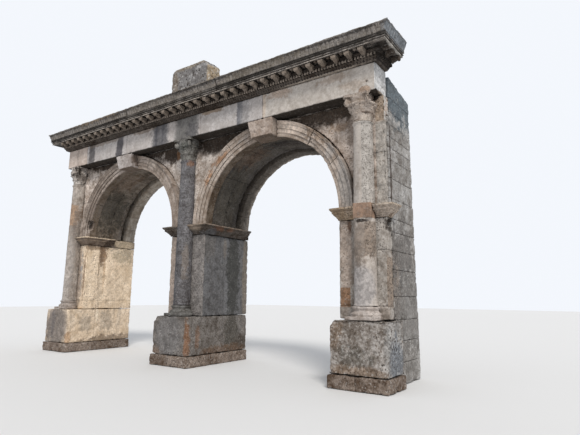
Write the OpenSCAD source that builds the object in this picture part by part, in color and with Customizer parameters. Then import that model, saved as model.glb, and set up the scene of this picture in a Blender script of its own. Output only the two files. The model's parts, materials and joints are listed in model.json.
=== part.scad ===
// Twin-arched city gate of squared limestone, with engaged half columns on its front.
// X runs along the front, Y into the gate, Z up. The origin is on the ground under the middle
// column's axis, in the plane of the front wall face.

/* [Bays and piers] */
// Distance from one column axis to the next
bay = 5010; // [4700:10:5400]
// Half of a pier's width, from the column axis to the passage
pier_half = 610; // [560:10:680]
// From an end column's axis to the outer face of the wall
end_half = 440; // [400:10:520]
// Depth of the gate from the front wall face to the back
gate_depth = 1720; // [1600:10:2000]
// Thickness of the front layer of facing stones
facing_t = 250; // [200:10:320]
// Height of the springing, the top of the impost course
spring_h = 3430; // [3200:10:3800]

/* [Pedestals] */
// Height of the lowest course, which the street hides on the higher side
foot_h = 260; // [180:10:340]
// How far the lowest course stands out past the pedestal
foot_out = 40; // [20:5:80]
// Height of the end pedestals' top above the ground
pedestal_h = 1235; // [1100:5:1400]
// How much lower the middle pedestal's top lies
middle_drop = 65; // [0:5:120]
// How far a pedestal stands in front of the wall face
pedestal_out = 450; // [410:10:540]
// From an end column's axis to the pedestal's outer side
pedestal_end = 570; // [540:10:640]
// How far an end pedestal's outer side runs back from the wall face
pedestal_back = 340; // [300:10:420]
// Rounding of the worn upright corners
worn_r = 35; // [15:5:60]

/* [Columns] */
// Radius of the shaft at its foot
shaft_foot_r = 225; // [205:5:240]
// Radius of the shaft at its neck
shaft_neck_r = 196; // [180:2:204]
// Width of the squared stone let into the right shaft
patch_w = 370; // [300:10:400]
// Height of the squared stone let into the right shaft
patch_h = 300; // [240:10:360]
// How far the column's axis stands in front of the wall face
column_out = 70; // [40:5:100]
// Height of the attic base with its plinth
base_h = 260; // [220:5:300]
// Height of the square plinth under the base
plinth_h = 72; // [55:1:90]
// Half of the plinth's width
plinth_half = 312; // [305:1:330]
// Height of the capital with its abacus
capital_h = 575; // [520:5:620]
// Height of the abacus
abacus_h = 72; // [55:1:90]
// Half of the abacus's width at its horns
abacus_half = 330; // [310:5:350]
// Leaves round a whole capital
leaves = 8; // [6:2:10]

/* [Arches] */
// Height of the impost course
impost_h = 235; // [200:5:280]
// How far the impost's crown stands out
impost_out = 200; // [150:5:230]
// Length at the rear of the jamb that has no impost moulding
impost_stop = 130; // [60:10:240]
// Length of moulding that is left on the broken left impost
impost_broken = 860; // [600:10:1000]
// Width of the moulded archivolt
archivolt_w = 360; // [330:5:380]
// How far the archivolt's crown stands in front of the wall face
archivolt_out = 90; // [60:5:120]
// Gap between the archivolt's crown and the architrave
crown_gap = 10; // [5:1:30]
// Width of the keystone at its top
key_top_w = 720; // [640:10:800]
// Width of the keystone at its foot
key_foot_w = 600; // [520:10:630]
// How far the keystone's foot stands in front of the wall face
key_out = 230; // [140:10:280]
// How far the keystone hangs below the arch
key_drop = 22; // [5:1:50]
// How far the spandrel wall lies behind the wall face
spandrel_set = 60; // [30:5:100]
// Step up from the front arch to the vault behind it
vault_step = 30; // [10:5:60]
// Distance from the wall face to the portcullis slot
slot_y = 1220; // [1100:10:1260]
// Width of the portcullis slot
slot_w = 135; // [80:5:180]
// Depth of the portcullis slot round the vault
slot_deep = 420; // [300:10:450]

/* [Entablature] */
// Height of the architrave and frieze blocks
frieze_h = 580; // [500:10:660]
// How far the frieze stands in front of the wall face
frieze_out = 300; // [280:10:340]
// From an end column's axis to the end of the frieze
frieze_end = 385; // [360:5:395]
// Height of the bed moulding with its dentils
bed_h = 190; // [170:5:220]
// Height of the corona and gutter moulding
corona_h = 330; // [290:5:380]
// How far the cornice stands out past the frieze
cornice_out = 490; // [440:10:560]
// Distance between modillions
modillion_pitch = 300; // [260:10:360]
// Width of a modillion at the soffit
modillion_w = 130; // [90:5:150]
// Width of a modillion at its foot
modillion_foot_w = 78; // [50:1:85]
// Distance between dentils
dentil_pitch = 70; // [60:1:100]
// Width of a dentil
dentil_w = 44; // [30:1:52]
// Joint in the frieze, measured from the left column's axis
joint_left = 630; // [500:10:1200]
// Joint in the frieze over the left keystone, measured from its centre
joint_key_left = 100; // [0:10:250]
// Joint in the frieze beside the middle column, measured from its axis
joint_middle = 590; // [400:10:1000]
// Joint in the frieze over the right keystone, measured from its centre
joint_key_right = 85; // [0:5:250]
// Joint in the cornice left of the middle column
joint_cornice_left = 1900; // [1300:50:2600]
// Joint in the cornice right of the middle column
joint_cornice_right = 1500; // [1000:50:2400]

/* [Rear mass and attic] */
// Height of the rubble core and rear wall
mass_h = 5990; // [5900:10:6050]
// Thickness of the ashlar flank wall
flank_t = 390; // [300:10:400]
// Width of the open crack between the front stones and the flank
crack_w = 20; // [5:5:40]
// Thickness of the facing at the corners, where the flank reaches forward
corner_t = 140; // [110:5:180]
// Height of the thin corner facing above the springing
corner_h = 1870; // [1700:10:2000]
// Height of the flank at its front edge
flank_front_h = 6190; // [6000:10:6250]
// How far the flank's head falls towards the back
flank_fall = 210; // [50:10:300]
// How far the flank's foot stops short of the back
flank_stop = 100; // [40:10:200]
// How far the flank's back edge leans in at its head
flank_lean = 200; // [50:10:300]
// Width of the surviving attic block
attic_w = 1430; // [1000:10:1600]
// Height of the surviving attic block
attic_h = 1030; // [800:10:1200]
// How far the attic block stands in front of the wall face
attic_out = 200; // [100:10:260]
// Depth of the worn groove in the left jamb
groove_deep = 35; // [10:5:60]
// Width of the worn groove in the left jamb
groove_w = 290; // [200:10:340]
// Distance from the wall face to the worn groove
groove_y = 470; // [380:10:700]

/* [Hidden] */

pale_stone = [0.66, 0.62, 0.57];
warm_stone = [0.72, 0.65, 0.55];
grey_stone = [0.50, 0.49, 0.48];
dark_stone = [0.26, 0.24, 0.22];
brown_stone = [0.38, 0.32, 0.27];

arch_x = bay / 2;
arch_r = bay / 2 - pier_half;
ring_r = arch_r + archivolt_w;
vault_r = arch_r + vault_step;
impost_z = spring_h - impost_h;
architrave_z = spring_h + ring_r + crown_gap;
frieze_top = architrave_z + frieze_h;
soffit_z = frieze_top + bed_h;
cornice_top = soffit_z + corona_h;
wall_end = bay + end_half;
core_end = wall_end - flank_t;
frieze_half = bay + frieze_end;
capital_z = architrave_z - capital_h;
slot_end = slot_y + slot_w;
strip_half = pier_half - archivolt_w;
middle_top = pedestal_h - middle_drop;
leaf_half = 0.98 * PI * (shaft_neck_r + 40) / leaves;
bed_out = 0.38 * cornice_out;
soffit_out = 0.8 * cornice_out;
core_back = gate_depth - impost_stop;
wall_y = column_out;
key_foot_z = arch_r - key_drop;
key_top_z = architrave_z - spring_h;
patch_turn = 12;
boss_t = 16;
eggs = 24;
lap = 1;
past = 50;
far = 1000;
round_fn = 96;

// Helpers for outlines and for placing pieces

function arc(cx, cy, r, a0, a1, n) =
  [for (i = [0:n]) let (a = a0 + (a1 - a0) * i / n) [cx + r * cos(a), cy + r * sin(a)]];

// An S curve from one point to another, steepest in the middle
function s_curve(p, q, n) =
  [for (i = [0:n]) let (t = i / n)
    [p[0] + (q[0] - p[0]) * (1 - cos(180 * t)) / 2, p[1] + (q[1] - p[1]) * t]];

function flip(list) = [for (i = [len(list) - 1:-1:0]) list[i]];

// The gate is drawn for its right half, and the left half is its mirror image
module on_side(side) {
  if (side < 0) mirror([1, 0, 0]) children();
  else children();
}

module at_arch(side) translate([side * arch_x, 0, spring_h]) children();

// Along Y, from one depth to another
module run_back(y0, y1) translate([0, y1, 0]) rotate([90, 0, 0]) linear_extrude(y1 - y0) children();

// A block whose front, and ends if asked, carry a moulding that is mitred round the corners
module moulded_block(x0, x1, y0, y1, outline, left_end, right_end) {
  low = outline[0][1];
  top = outline[len(outline) - 1][1];
  intersection() {
    run_back(y0 - far, y1) polygon(concat(
      [for (q = outline) [x1 + right_end * q[0], q[1]]],
      [for (q = flip(outline)) [x0 - left_end * q[0], q[1]]]));
    translate([x0 - far, 0, 0]) rotate([90, 0, 90]) linear_extrude(x1 - x0 + 2 * far)
      polygon(concat([[y1, low]], [for (q = outline) [y0 - q[0], q[1]]], [[y1, top]]));
  }
}

// A block whose two front upright corners are worn round
module worn_block(x0, x1, y0, y1, z0, z1) translate([0, 0, z0]) linear_extrude(z1 - z0) {
  translate([x0, y0 + worn_r]) square([x1 - x0, y1 - y0 - worn_r]);
  translate([x0 + worn_r, y0]) square([x1 - x0 - 2 * worn_r, 2 * worn_r]);
  for (x = [x0 + worn_r, x1 - worn_r]) translate([x, y0 + worn_r]) circle(worn_r, $fn = round_fn);
}

// Lowest courses and pedestals

module middle_plinth(out, z0, z1)
  worn_block(-pier_half - out, pier_half + out, -pedestal_out - out, gate_depth, z0, z1);

module end_plinth(side, out, z0, z1) on_side(side) {
  worn_block(bay - pier_half - out, bay + pedestal_end + out, -pedestal_out - out, pedestal_back, z0, z1);
  translate([bay - pier_half - out, pedestal_back - lap, z0])
    cube([core_end - bay + pier_half + out, gate_depth - pedestal_back + lap, z1 - z0]);
}

module left_foot_course() color(brown_stone) end_plinth(-1, foot_out, 0, foot_h);
module middle_foot_course() color(brown_stone) middle_plinth(foot_out, 0, foot_h);
module right_foot_course() color(brown_stone) end_plinth(1, foot_out, 0, foot_h);
module left_pedestal() color(warm_stone) end_plinth(-1, 0, foot_h, pedestal_h);
module middle_pedestal() color(grey_stone) middle_plinth(0, foot_h, middle_top);
module right_pedestal() color(pale_stone) end_plinth(1, 0, foot_h, pedestal_h);

// Piers from the pedestal to the impost

module end_pier() translate([0, 0, pedestal_h]) linear_extrude(impost_z - pedestal_h) {
  translate([bay - pier_half, 0]) square([pier_half + end_half, facing_t]);
  translate([bay - pier_half, facing_t - lap])
    square([core_end - bay + pier_half, gate_depth - facing_t + lap]);
}

module right_pier() color(pale_stone) end_pier();

// The portcullis and traffic have worn a shallow round groove into the left jamb
module left_pier() color(warm_stone) on_side(-1) difference() {
  end_pier();
  groove_r = groove_w * groove_w / (8 * groove_deep) + groove_deep / 2;
  translate([bay - pier_half + groove_deep - groove_r, groove_y + groove_w / 2, 0])
    cylinder(r = groove_r, h = spring_h, $fn = round_fn);
}

module middle_pier() color(grey_stone) translate([-pier_half, 0, middle_top])
  cube([2 * pier_half, gate_depth, impost_z - middle_top]);

// Half columns, cut where they meet the wall: attic base, shaft with entasis and neck ring, capital

module before_wall() intersection() {
  children();
  translate([-far, -far, -past]) cube([2 * far, far + wall_y, cornice_top]);
}

module at_column(side, z) translate([side * bay, -column_out, z]) children();

module attic_base() before_wall() {
  roll_h = base_h - plinth_h;
  low_r = 0.19 * roll_h;
  scotia_r = 0.13 * roll_h;
  top_r = 0.12 * roll_h;
  low_rim = plinth_half - 6;
  scotia_z = plinth_h + 2 * low_r + 0.06 * roll_h;
  top_z = scotia_z + 2 * scotia_r + 0.05 * roll_h;
  top_rim = shaft_foot_r + 0.3 * (low_rim - shaft_foot_r);
  translate([-plinth_half, -plinth_half, 0]) cube([2 * plinth_half, 2 * plinth_half, plinth_h]);
  rotate_extrude($fn = round_fn) polygon(concat(
    [[0, plinth_h - lap], [low_rim - low_r, plinth_h - lap]],
    arc(low_rim - low_r, plinth_h + low_r, low_r, -90, 90, 8),
    [[low_rim - low_r, scotia_z]],
    arc(low_rim - low_r, scotia_z + scotia_r, scotia_r, 270, 90, 6),
    [[top_rim, top_z]],
    arc(top_rim, top_z + top_r, top_r, -90, 90, 8),
    [[shaft_foot_r + 18, top_z + 2 * top_r], [shaft_foot_r + 18, base_h], [0, base_h]]));
}

module shaft_body(h) {
  fillet = 30;
  neck = 70;
  bead = 20;
  rotate_extrude($fn = round_fn) polygon(concat(
    [[0, 0], [shaft_foot_r + 14, 0], [shaft_foot_r + 14, bead]],
    arc(shaft_foot_r + fillet, bead + fillet, fillet, 212, 180, 4),
    [for (i = [1:9]) let (t = i / 10)
      [shaft_foot_r - (shaft_foot_r - shaft_neck_r) * pow(t, 1.7),
        bead + fillet + (h - neck - bead - fillet) * t]],
    [[shaft_neck_r, h - neck], [shaft_neck_r + 10, h - neck + 22], [shaft_neck_r + 10, h - 2 * bead]],
    arc(shaft_neck_r + 8, h - bead, bead, -90, 90, 8),
    [[0, h]]));
}

module shaft(side, base_z) at_column(side, base_z + base_h) before_wall()
  shaft_body(capital_z - base_z - base_h);

// A squared stone was let into the right shaft at the springing, turned a little towards the end
module patch() at_column(1, spring_h - 0.9 * patch_h) before_wall() rotate([0, 0, patch_turn])
  translate([-patch_w / 2, -shaft_foot_r, 0]) cube([patch_w, shaft_foot_r, patch_h]);

// A ring of leaves: one revolved leaf section, parted by outlines with round tips
module leaf_ring(z, h, r0, r1, turn) intersection() {
  translate([0, 0, z]) rotate_extrude($fn = round_fn) polygon(concat(
    [[0, 0], [r0 + 14, 0]],
    [for (i = [1:6]) let (t = i / 7) [r0 + 14 + (r1 - r0 - 20) * pow(t, 2.2), 0.86 * h * t]],
    arc(r1 - 24, h - 24, 24, -50, 120, 6),
    [[r0 + 0.25 * (r1 - r0), h - 30], [0, h - 30]]));
  for (i = [0:leaves - 1]) rotate([0, 0, turn + 360 * i / leaves]) rotate([90, 0, 90])
    linear_extrude(2 * r1) polygon(concat(
      [[-leaf_half, z - lap]], arc(0, z + 0.6 * h, leaf_half, 180, 0, 10), [[leaf_half, z - lap]]));
}

// A corner scroll: a drum with a stepped rim and a raised eye on both sides
module volute() {
  scroll_r = 0.16 * capital_h;
  scroll_t = 0.15 * capital_h;
  for (a = [-45, -135]) rotate([0, 0, a])
    translate([abacus_half - 0.3 * scroll_r, 0, capital_h - abacus_h - 0.9 * scroll_r]) rotate([90, 0, 0]) {
      cylinder(r = scroll_r, h = scroll_t, center = true, $fn = round_fn);
      cylinder(r = 0.7 * scroll_r, h = 1.25 * scroll_t, center = true, $fn = round_fn);
      cylinder(r = 0.3 * scroll_r, h = 1.5 * scroll_t, center = true, $fn = round_fn);
    }
}

// A square slab with hollow sides and clipped horns
module abacus() translate([0, 0, capital_h - abacus_h]) difference() {
  linear_extrude(abacus_h) intersection() {
    square(2 * abacus_half, center = true);
    rotate(45) square(2.5 * abacus_half, center = true);
  }
  hollow_r = 3.2 * abacus_half;
  for (a = [0, 90, 180, 270]) rotate([0, 0, a]) translate([0.86 * abacus_half + hollow_r, 0, -lap])
    cylinder(r = hollow_r, h = abacus_h + 2 * lap, $fn = round_fn);
}

// A flat round boss beside the middle of the abacus rises in front of the architrave
module boss(x, r) translate([x, column_out - frieze_out, capital_h - 0.2 * abacus_h]) rotate([90, 0, 0])
  cylinder(r = r, h = boss_t, $fn = round_fn);

// The bell flares to a ring of eggs, with a small square cut between each two of them
module bell(bell_h) {
  egg_r = 0.07 * bell_h;
  egg_z = 0.72 * bell_h;
  bell_r = shaft_neck_r + 76;
  difference() {
    rotate_extrude($fn = round_fn) polygon(concat(
      [[0, 0], [shaft_neck_r - 4, 0]],
      s_curve([shaft_neck_r - 4, 0.08 * bell_h], [bell_r, egg_z - egg_r], 8),
      arc(bell_r + 8, egg_z, egg_r, -90, 90, 8),
      [[bell_r + 4, egg_z + 1.2 * egg_r], [bell_r + 22, bell_h + lap], [0, bell_h + lap]]));
    for (i = [0:eggs - 1]) rotate([0, 0, 360 * (i + 0.5) / eggs])
      translate([bell_r + 12, -0.2 * egg_r, egg_z - 0.9 * egg_r]) cube([past, 0.4 * egg_r, 1.8 * egg_r]);
  }
}

module capital(side) at_column(side, capital_z) before_wall() {
  bell_h = capital_h - abacus_h;
  bell(bell_h);
  leaf_ring(0, 0.38 * bell_h, shaft_neck_r - 8, shaft_neck_r + 54, 180 / leaves);
  leaf_ring(0.2 * bell_h, 0.46 * bell_h, shaft_neck_r - 8, shaft_neck_r + 112, 0);
  volute();
  abacus();
  if (side == 1) boss(0.27 * capital_h, 0.26 * capital_h);
  if (side == 0) boss(0.33 * capital_h, 0.14 * capital_h);
}

module left_column_base() color(pale_stone) at_column(-1, pedestal_h) attic_base();
module middle_column_base() color(grey_stone) at_column(0, middle_top) attic_base();
module right_column_base() color(pale_stone) at_column(1, pedestal_h) attic_base();
module left_shaft() color(pale_stone) shaft(-1, pedestal_h);
module middle_shaft() color(grey_stone) shaft(0, middle_top);
module right_shaft() color(pale_stone) {
  shaft(1, pedestal_h);
  patch();
}
module left_capital() color(warm_stone) capital(-1);
module middle_capital() color(grey_stone) capital(0);
module right_capital() color(warm_stone) capital(1);

// Impost courses: a slab through the pier, moulded on the front and on the passage side

impost_outline = concat(
  [[0, impost_z], [0.1 * impost_out, impost_z], [0.1 * impost_out, impost_z + 0.12 * impost_h]],
  s_curve([0.2 * impost_out, impost_z + 0.14 * impost_h], [0.62 * impost_out, impost_z + 0.5 * impost_h], 6),
  [[0.74 * impost_out, impost_z + 0.5 * impost_h], [0.74 * impost_out, impost_z + 0.7 * impost_h]],
  arc(0.74 * impost_out, impost_z + 0.86 * impost_h, 0.16 * impost_h, 270, 330, 4),
  [[impost_out, impost_z + 0.84 * impost_h], [impost_out, spring_h]]);

module end_impost(moulded_to, front_end) difference() {
  union() {
    moulded_block(bay - pier_half, front_end, 0, facing_t, impost_outline, 1, front_end < wall_end ? 0 : 1);
    translate([bay, 0, impost_z]) cube([end_half, facing_t, impost_h]);
    intersection() {
      moulded_block(bay - pier_half, core_end, 0, moulded_to, impost_outline, 1, 0);
      translate([0, facing_t - lap, impost_z]) cube([core_end, moulded_to, impost_h]);
    }
    translate([bay - pier_half, facing_t - lap, impost_z])
      cube([core_end - bay + pier_half, gate_depth - facing_t + lap, impost_h]);
  }
  at_column(1, pedestal_h + base_h) shaft_body(capital_z - pedestal_h - base_h);
}

// The left one has lost its moulding at the rear and outside the column
module left_impost() color(brown_stone) on_side(-1) end_impost(impost_broken, bay);
module right_impost() color(pale_stone) difference() {
  end_impost(core_back, wall_end);
  patch();
}
module middle_impost() color(grey_stone) difference() {
  union() {
    moulded_block(-pier_half, pier_half, 0, core_back, impost_outline, 1, 1);
    translate([-pier_half, core_back - lap, impost_z]) cube([2 * pier_half, impost_stop + lap, impost_h]);
  }
  at_column(0, middle_top + base_h) shaft_body(capital_z - middle_top - base_h);
}

// Arches: the moulded archivolt and its keystone in front, the vault behind, the rear arch

// A wedge whose front leans out, from its foot to the frieze's face at its head
module key_wedge() intersection() {
  run_back(-frieze_out, facing_t) polygon([
    [-key_foot_w / 2, key_foot_z], [key_foot_w / 2, key_foot_z],
    [key_top_w / 2, key_top_z], [-key_top_w / 2, key_top_z]]);
  translate([-key_top_w, 0, 0]) rotate([90, 0, 90]) linear_extrude(2 * key_top_w) polygon([
    [-key_out, key_foot_z], [facing_t, key_foot_z], [facing_t, key_top_z], [-frieze_out, key_top_z]]);
}

// Three plain bands, each standing a little further out, and an S-shaped crown
archivolt_outline = concat(
  [[arch_r, -facing_t], [arch_r, 6], [arch_r + 0.25 * archivolt_w, 6], [arch_r + 0.25 * archivolt_w, 28],
   [arch_r + 0.51 * archivolt_w, 28], [arch_r + 0.51 * archivolt_w, 52], [arch_r + 0.78 * archivolt_w, 52]],
  s_curve([arch_r + 0.79 * archivolt_w, 58], [arch_r + 0.92 * archivolt_w, archivolt_out - 6], 6),
  [[arch_r + 0.92 * archivolt_w, archivolt_out], [ring_r, archivolt_out], [ring_r, -facing_t]]);

module archivolt(side) difference() {
  at_arch(side) rotate([90, 0, 0]) rotate_extrude(angle = 180, $fn = 2 * round_fn) polygon(archivolt_outline);
  at_arch(side) key_wedge();
}

module keystone(side) at_arch(side) key_wedge();

module tunnel(r, y0, y1) translate([0, y1, 0]) rotate([90, 0, 0])
  cylinder(r = r, h = y1 - y0, $fn = 2 * round_fn);

// The vault's back has a slot round it, where the portcullis ran
module vault(side) on_side(side) difference() {
  translate([0, facing_t, spring_h]) cube([core_end, slot_end - facing_t, mass_h - spring_h]);
  at_arch(1) tunnel(vault_r, 0, gate_depth);
  at_arch(1) tunnel(vault_r + slot_deep, slot_y, slot_end + lap);
}

module rear_arch(side) on_side(side) difference() {
  translate([0, slot_end, spring_h]) cube([core_end, gate_depth - slot_end, mass_h - spring_h]);
  at_arch(1) tunnel(arch_r, 0, gate_depth + past);
}

module left_archivolt() color(warm_stone) archivolt(-1);
module right_archivolt() color(warm_stone) archivolt(1);
module left_keystone() color(warm_stone) keystone(-1);
module right_keystone() color(warm_stone) keystone(1);
module left_vault() color(brown_stone) vault(-1);
module right_vault() color(brown_stone) vault(1);
module left_rear_arch() color(grey_stone) rear_arch(-1);
module right_rear_arch() color(grey_stone) rear_arch(1);

// Spandrels: facing walls over the imposts, with a flat strip behind each column. At the outer corners
// they are thin up to the top stone, and the flank reaches forward behind them.

module spandrel(x0, x1, strip_x0, strip_x1) difference() {
  union() {
    translate([x0, spandrel_set, spring_h]) cube([x1 - x0, facing_t - spandrel_set, architrave_z - spring_h]);
    translate([strip_x0, 0, spring_h]) cube([strip_x1 - strip_x0, facing_t, architrave_z - spring_h]);
  }
  for (side = [-1, 1]) at_arch(side) {
    tunnel(ring_r, -past, facing_t + past);
    key_wedge();
  }
  for (side = [-1, 1]) on_side(side) translate([core_end - crack_w, corner_t, spring_h - lap])
    cube([flank_t + past, facing_t, corner_h + lap]);
}

module left_spandrel() color(pale_stone) spandrel(-wall_end, -arch_x, -wall_end, -bay + strip_half);
module middle_spandrel() color(pale_stone) spandrel(-arch_x, arch_x, -strip_half, strip_half);
module right_spandrel() color(pale_stone) spandrel(arch_x, wall_end, bay - strip_half, wall_end);

// Architrave and frieze, cut from one height of long blocks

module frieze_block(x0, x1) translate([x0, -frieze_out, architrave_z])
  cube([x1 - x0, frieze_out + facing_t, frieze_h]);

frieze_x = [-frieze_half, -bay + joint_left, -arch_x + joint_key_left, joint_middle,
  arch_x + joint_key_right, frieze_half];

module frieze_left_end() color(warm_stone) frieze_block(frieze_x[0], frieze_x[1]);
module frieze_left() color(pale_stone) frieze_block(frieze_x[1], frieze_x[2]);
module frieze_middle() color(grey_stone) frieze_block(frieze_x[2], frieze_x[3]);
module frieze_right() color(pale_stone) frieze_block(frieze_x[3], frieze_x[4]);
module frieze_right_end() color(warm_stone) frieze_block(frieze_x[4], frieze_x[5]);

// Cornice: bed moulding with dentils, modillions, then the corona with its gutter moulding

bed_outline = concat(
  s_curve([0.28 * bed_out, frieze_top], [0.52 * bed_out, frieze_top + 0.3 * bed_h], 6),
  [[0.6 * bed_out, frieze_top + 0.3 * bed_h], [0.6 * bed_out, frieze_top + 0.7 * bed_h]],
  arc(0.6 * bed_out, soffit_z, 0.3 * bed_h, 280, 350, 5),
  [[bed_out, soffit_z - 0.05 * bed_h], [bed_out, soffit_z]]);

dentil_z = frieze_top + 0.34 * bed_h;
dentil_h = 0.34 * bed_h;
dentil_reach = 0.26 * bed_out;
dentil_face = 0.6 * bed_out;
dentils = floor((frieze_half + dentil_face - dentil_w) / dentil_pitch);
end_dentils = floor((frieze_out + facing_t - dentil_w) / dentil_pitch);

module bed_moulding() color(dark_stone) {
  moulded_block(-frieze_half, frieze_half, -frieze_out, facing_t, bed_outline, 1, 1);
  for (i = [-dentils:dentils])
    translate([i * dentil_pitch - dentil_w / 2, -frieze_out - dentil_face - dentil_reach, dentil_z])
      cube([dentil_w, dentil_reach + lap, dentil_h]);
  for (side = [-1, 1], i = [0:end_dentils]) on_side(side)
    translate([frieze_half + dentil_face - lap, facing_t - dentil_w - i * dentil_pitch, dentil_z])
      cube([dentil_reach + lap, dentil_w, dentil_h]);
}

// A modillion hangs from the soffit: an S-shaped underside that ends in a roll, and a foot narrower
// than its top
modillion_deep = 0.6 * bed_h;
modillion_reach = 0.9 * (soffit_out - bed_out);
modillion_outline = concat(
  [[0, 0], [0, -modillion_deep]],
  s_curve([0.12 * modillion_reach, -modillion_deep], [0.62 * modillion_reach, -0.5 * modillion_deep], 6),
  arc(modillion_reach - 0.3 * modillion_deep, -0.5 * modillion_deep, 0.3 * modillion_deep, 230, 360, 8),
  [[modillion_reach, 0]]);
modillion_last = floor((frieze_half - modillion_w) / modillion_pitch - 0.5);
modillion_x = [for (i = [-modillion_last - 1:modillion_last]) (i + 0.5) * modillion_pitch];
modillion_y = [for (i = [0:1]) facing_t - modillion_w - i * modillion_pitch];

module modillion_at(x, y, turn) translate([x, y, soffit_z]) rotate([0, 0, turn]) intersection() {
  rotate([90, 0, 90]) translate([0, 0, -modillion_w / 2]) linear_extrude(modillion_w)
    mirror([1, 0]) polygon(modillion_outline);
  run_back(-modillion_reach, 0) polygon([
    [-modillion_w / 2, 0], [modillion_w / 2, 0],
    [modillion_foot_w / 2, -modillion_deep], [-modillion_foot_w / 2, -modillion_deep]]);
}

module modillions() color(dark_stone) {
  for (x = modillion_x) modillion_at(x, -frieze_out - bed_out, 0);
  for (side = [-1, 1], y = modillion_y) on_side(side) modillion_at(frieze_half + bed_out, y, 90);
}

// Above the soffit: three low fillets with grooves between them, and the tall S-shaped gutter moulding
fillet_h = 0.09 * corona_h;
fillet_step = 0.03 * cornice_out;
cornice_outline = concat(
  [for (i = [0:2], q = [[0, 0], [0, 1], [-1, 1], [-1, 1.5]])
    [soffit_out + (i + q[0]) * fillet_step, soffit_z + (1.5 * i + q[1]) * fillet_h]],
  s_curve([soffit_out + 2 * fillet_step, soffit_z + 4.5 * fillet_h],
    [0.97 * cornice_out, cornice_top - 0.1 * corona_h], 8),
  [[cornice_out, cornice_top - 0.1 * corona_h], [cornice_out, cornice_top]]);

// A square hollow between each two modillions
caisson = [0.92 * (modillion_pitch - modillion_w), 0.72 * modillion_reach, 0.2 * corona_h];
caisson_y = -frieze_out - bed_out - 0.16 * modillion_reach - caisson[1];

module cornice(x0, x1, left_end, right_end) color(dark_stone) difference() {
  moulded_block(x0, x1, -frieze_out, facing_t, cornice_outline, left_end, right_end);
  for (x = modillion_x) {
    cx = x + modillion_pitch / 2;
    if (cx - caisson[0] / 2 > x0 && cx + caisson[0] / 2 < x1 + right_end * bed_out)
      translate([cx - caisson[0] / 2, caisson_y, soffit_z - lap])
        cube([caisson[0], caisson[1], caisson[2] + lap]);
  }
}

module cornice_left() cornice(-frieze_half, -joint_cornice_left, 1, 0);
module cornice_middle() cornice(-joint_cornice_left, joint_cornice_right, 0, 0);
module cornice_right() cornice(joint_cornice_right, frieze_half, 0, 1);

// One block of the attic is left, over the middle column

module attic_block() color(grey_stone)
  worn_block(-attic_w / 2, attic_w / 2, -attic_out, facing_t, cornice_top, cornice_top + attic_h);

// Ashlar flank walls, closing the ends behind an open crack

module flank() {
  foot_y = gate_depth - flank_stop;
  front_y = facing_t + crack_w;
  corner_y = corner_t + crack_w;
  corner_top = spring_h + corner_h;
  translate([core_end, 0, 0]) rotate([90, 0, 90]) linear_extrude(flank_t) polygon([
    [pedestal_back, 0], [pedestal_back, pedestal_h], [front_y, pedestal_h], [front_y, spring_h],
    [corner_y, spring_h], [corner_y, corner_top], [front_y, corner_top], [front_y, flank_front_h],
    [foot_y - flank_lean, flank_front_h - flank_fall], [foot_y, 0]]);
}

module left_flank() color(pale_stone) on_side(-1) flank();
module right_flank() color(pale_stone) flank();

left_foot_course();
middle_foot_course();
right_foot_course();
left_pedestal();
middle_pedestal();
right_pedestal();
left_pier();
middle_pier();
right_pier();
left_column_base();
middle_column_base();
right_column_base();
left_shaft();
middle_shaft();
right_shaft();
left_capital();
middle_capital();
right_capital();
left_impost();
middle_impost();
right_impost();
left_archivolt();
right_archivolt();
left_keystone();
right_keystone();
left_vault();
right_vault();
left_rear_arch();
right_rear_arch();
left_spandrel();
middle_spandrel();
right_spandrel();
frieze_left_end();
frieze_left();
frieze_middle();
frieze_right();
frieze_right_end();
bed_moulding();
modillions();
cornice_left();
cornice_middle();
cornice_right();
attic_block();
left_flank();
right_flank();
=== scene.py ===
import json
import math
import random

import bpy
import numpy as np
from mathutils import Matrix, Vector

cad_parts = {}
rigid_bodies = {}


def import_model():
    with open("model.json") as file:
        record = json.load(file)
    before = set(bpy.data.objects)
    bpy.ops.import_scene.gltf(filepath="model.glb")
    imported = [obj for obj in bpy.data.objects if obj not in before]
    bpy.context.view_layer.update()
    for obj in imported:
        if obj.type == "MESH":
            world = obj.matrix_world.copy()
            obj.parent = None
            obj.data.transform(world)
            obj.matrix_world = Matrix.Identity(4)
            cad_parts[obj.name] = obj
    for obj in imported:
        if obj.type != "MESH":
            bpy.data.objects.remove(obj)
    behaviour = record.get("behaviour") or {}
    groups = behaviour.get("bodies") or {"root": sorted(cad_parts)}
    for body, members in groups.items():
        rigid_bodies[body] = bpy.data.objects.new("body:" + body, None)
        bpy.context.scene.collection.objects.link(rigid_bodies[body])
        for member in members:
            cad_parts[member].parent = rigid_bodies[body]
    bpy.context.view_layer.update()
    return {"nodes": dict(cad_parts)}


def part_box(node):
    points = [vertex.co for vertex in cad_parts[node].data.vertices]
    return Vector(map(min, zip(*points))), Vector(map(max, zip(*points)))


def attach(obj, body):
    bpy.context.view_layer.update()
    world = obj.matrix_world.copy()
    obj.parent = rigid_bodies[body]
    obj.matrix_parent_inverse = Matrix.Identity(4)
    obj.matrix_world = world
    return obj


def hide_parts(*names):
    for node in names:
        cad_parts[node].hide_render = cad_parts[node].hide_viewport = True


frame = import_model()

chance = random.Random(11)

# Foot courses. The lowest course of each pier, of hard local limestone that is browned and
# splashed by the street. The blocks are squared by hand and laid dry, and wheels have rounded
# their upright corners.


def pick(piece):
    """The piece alone is selected and active."""
    bpy.ops.object.select_all(action="DESELECT")
    piece.select_set(True)
    bpy.context.view_layer.objects.active = piece


def enter(mode):
    bpy.ops.object.mode_set(mode=mode)


def shape(piece, *steps):
    """Runs edit mode operators on the whole piece, each given as its name and its settings."""
    pick(piece)
    enter("EDIT")
    for name, settings in steps:
        bpy.ops.mesh.select_all(action="SELECT")
        getattr(bpy.ops.mesh, name)(**settings)
    enter("OBJECT")
    return piece


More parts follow.
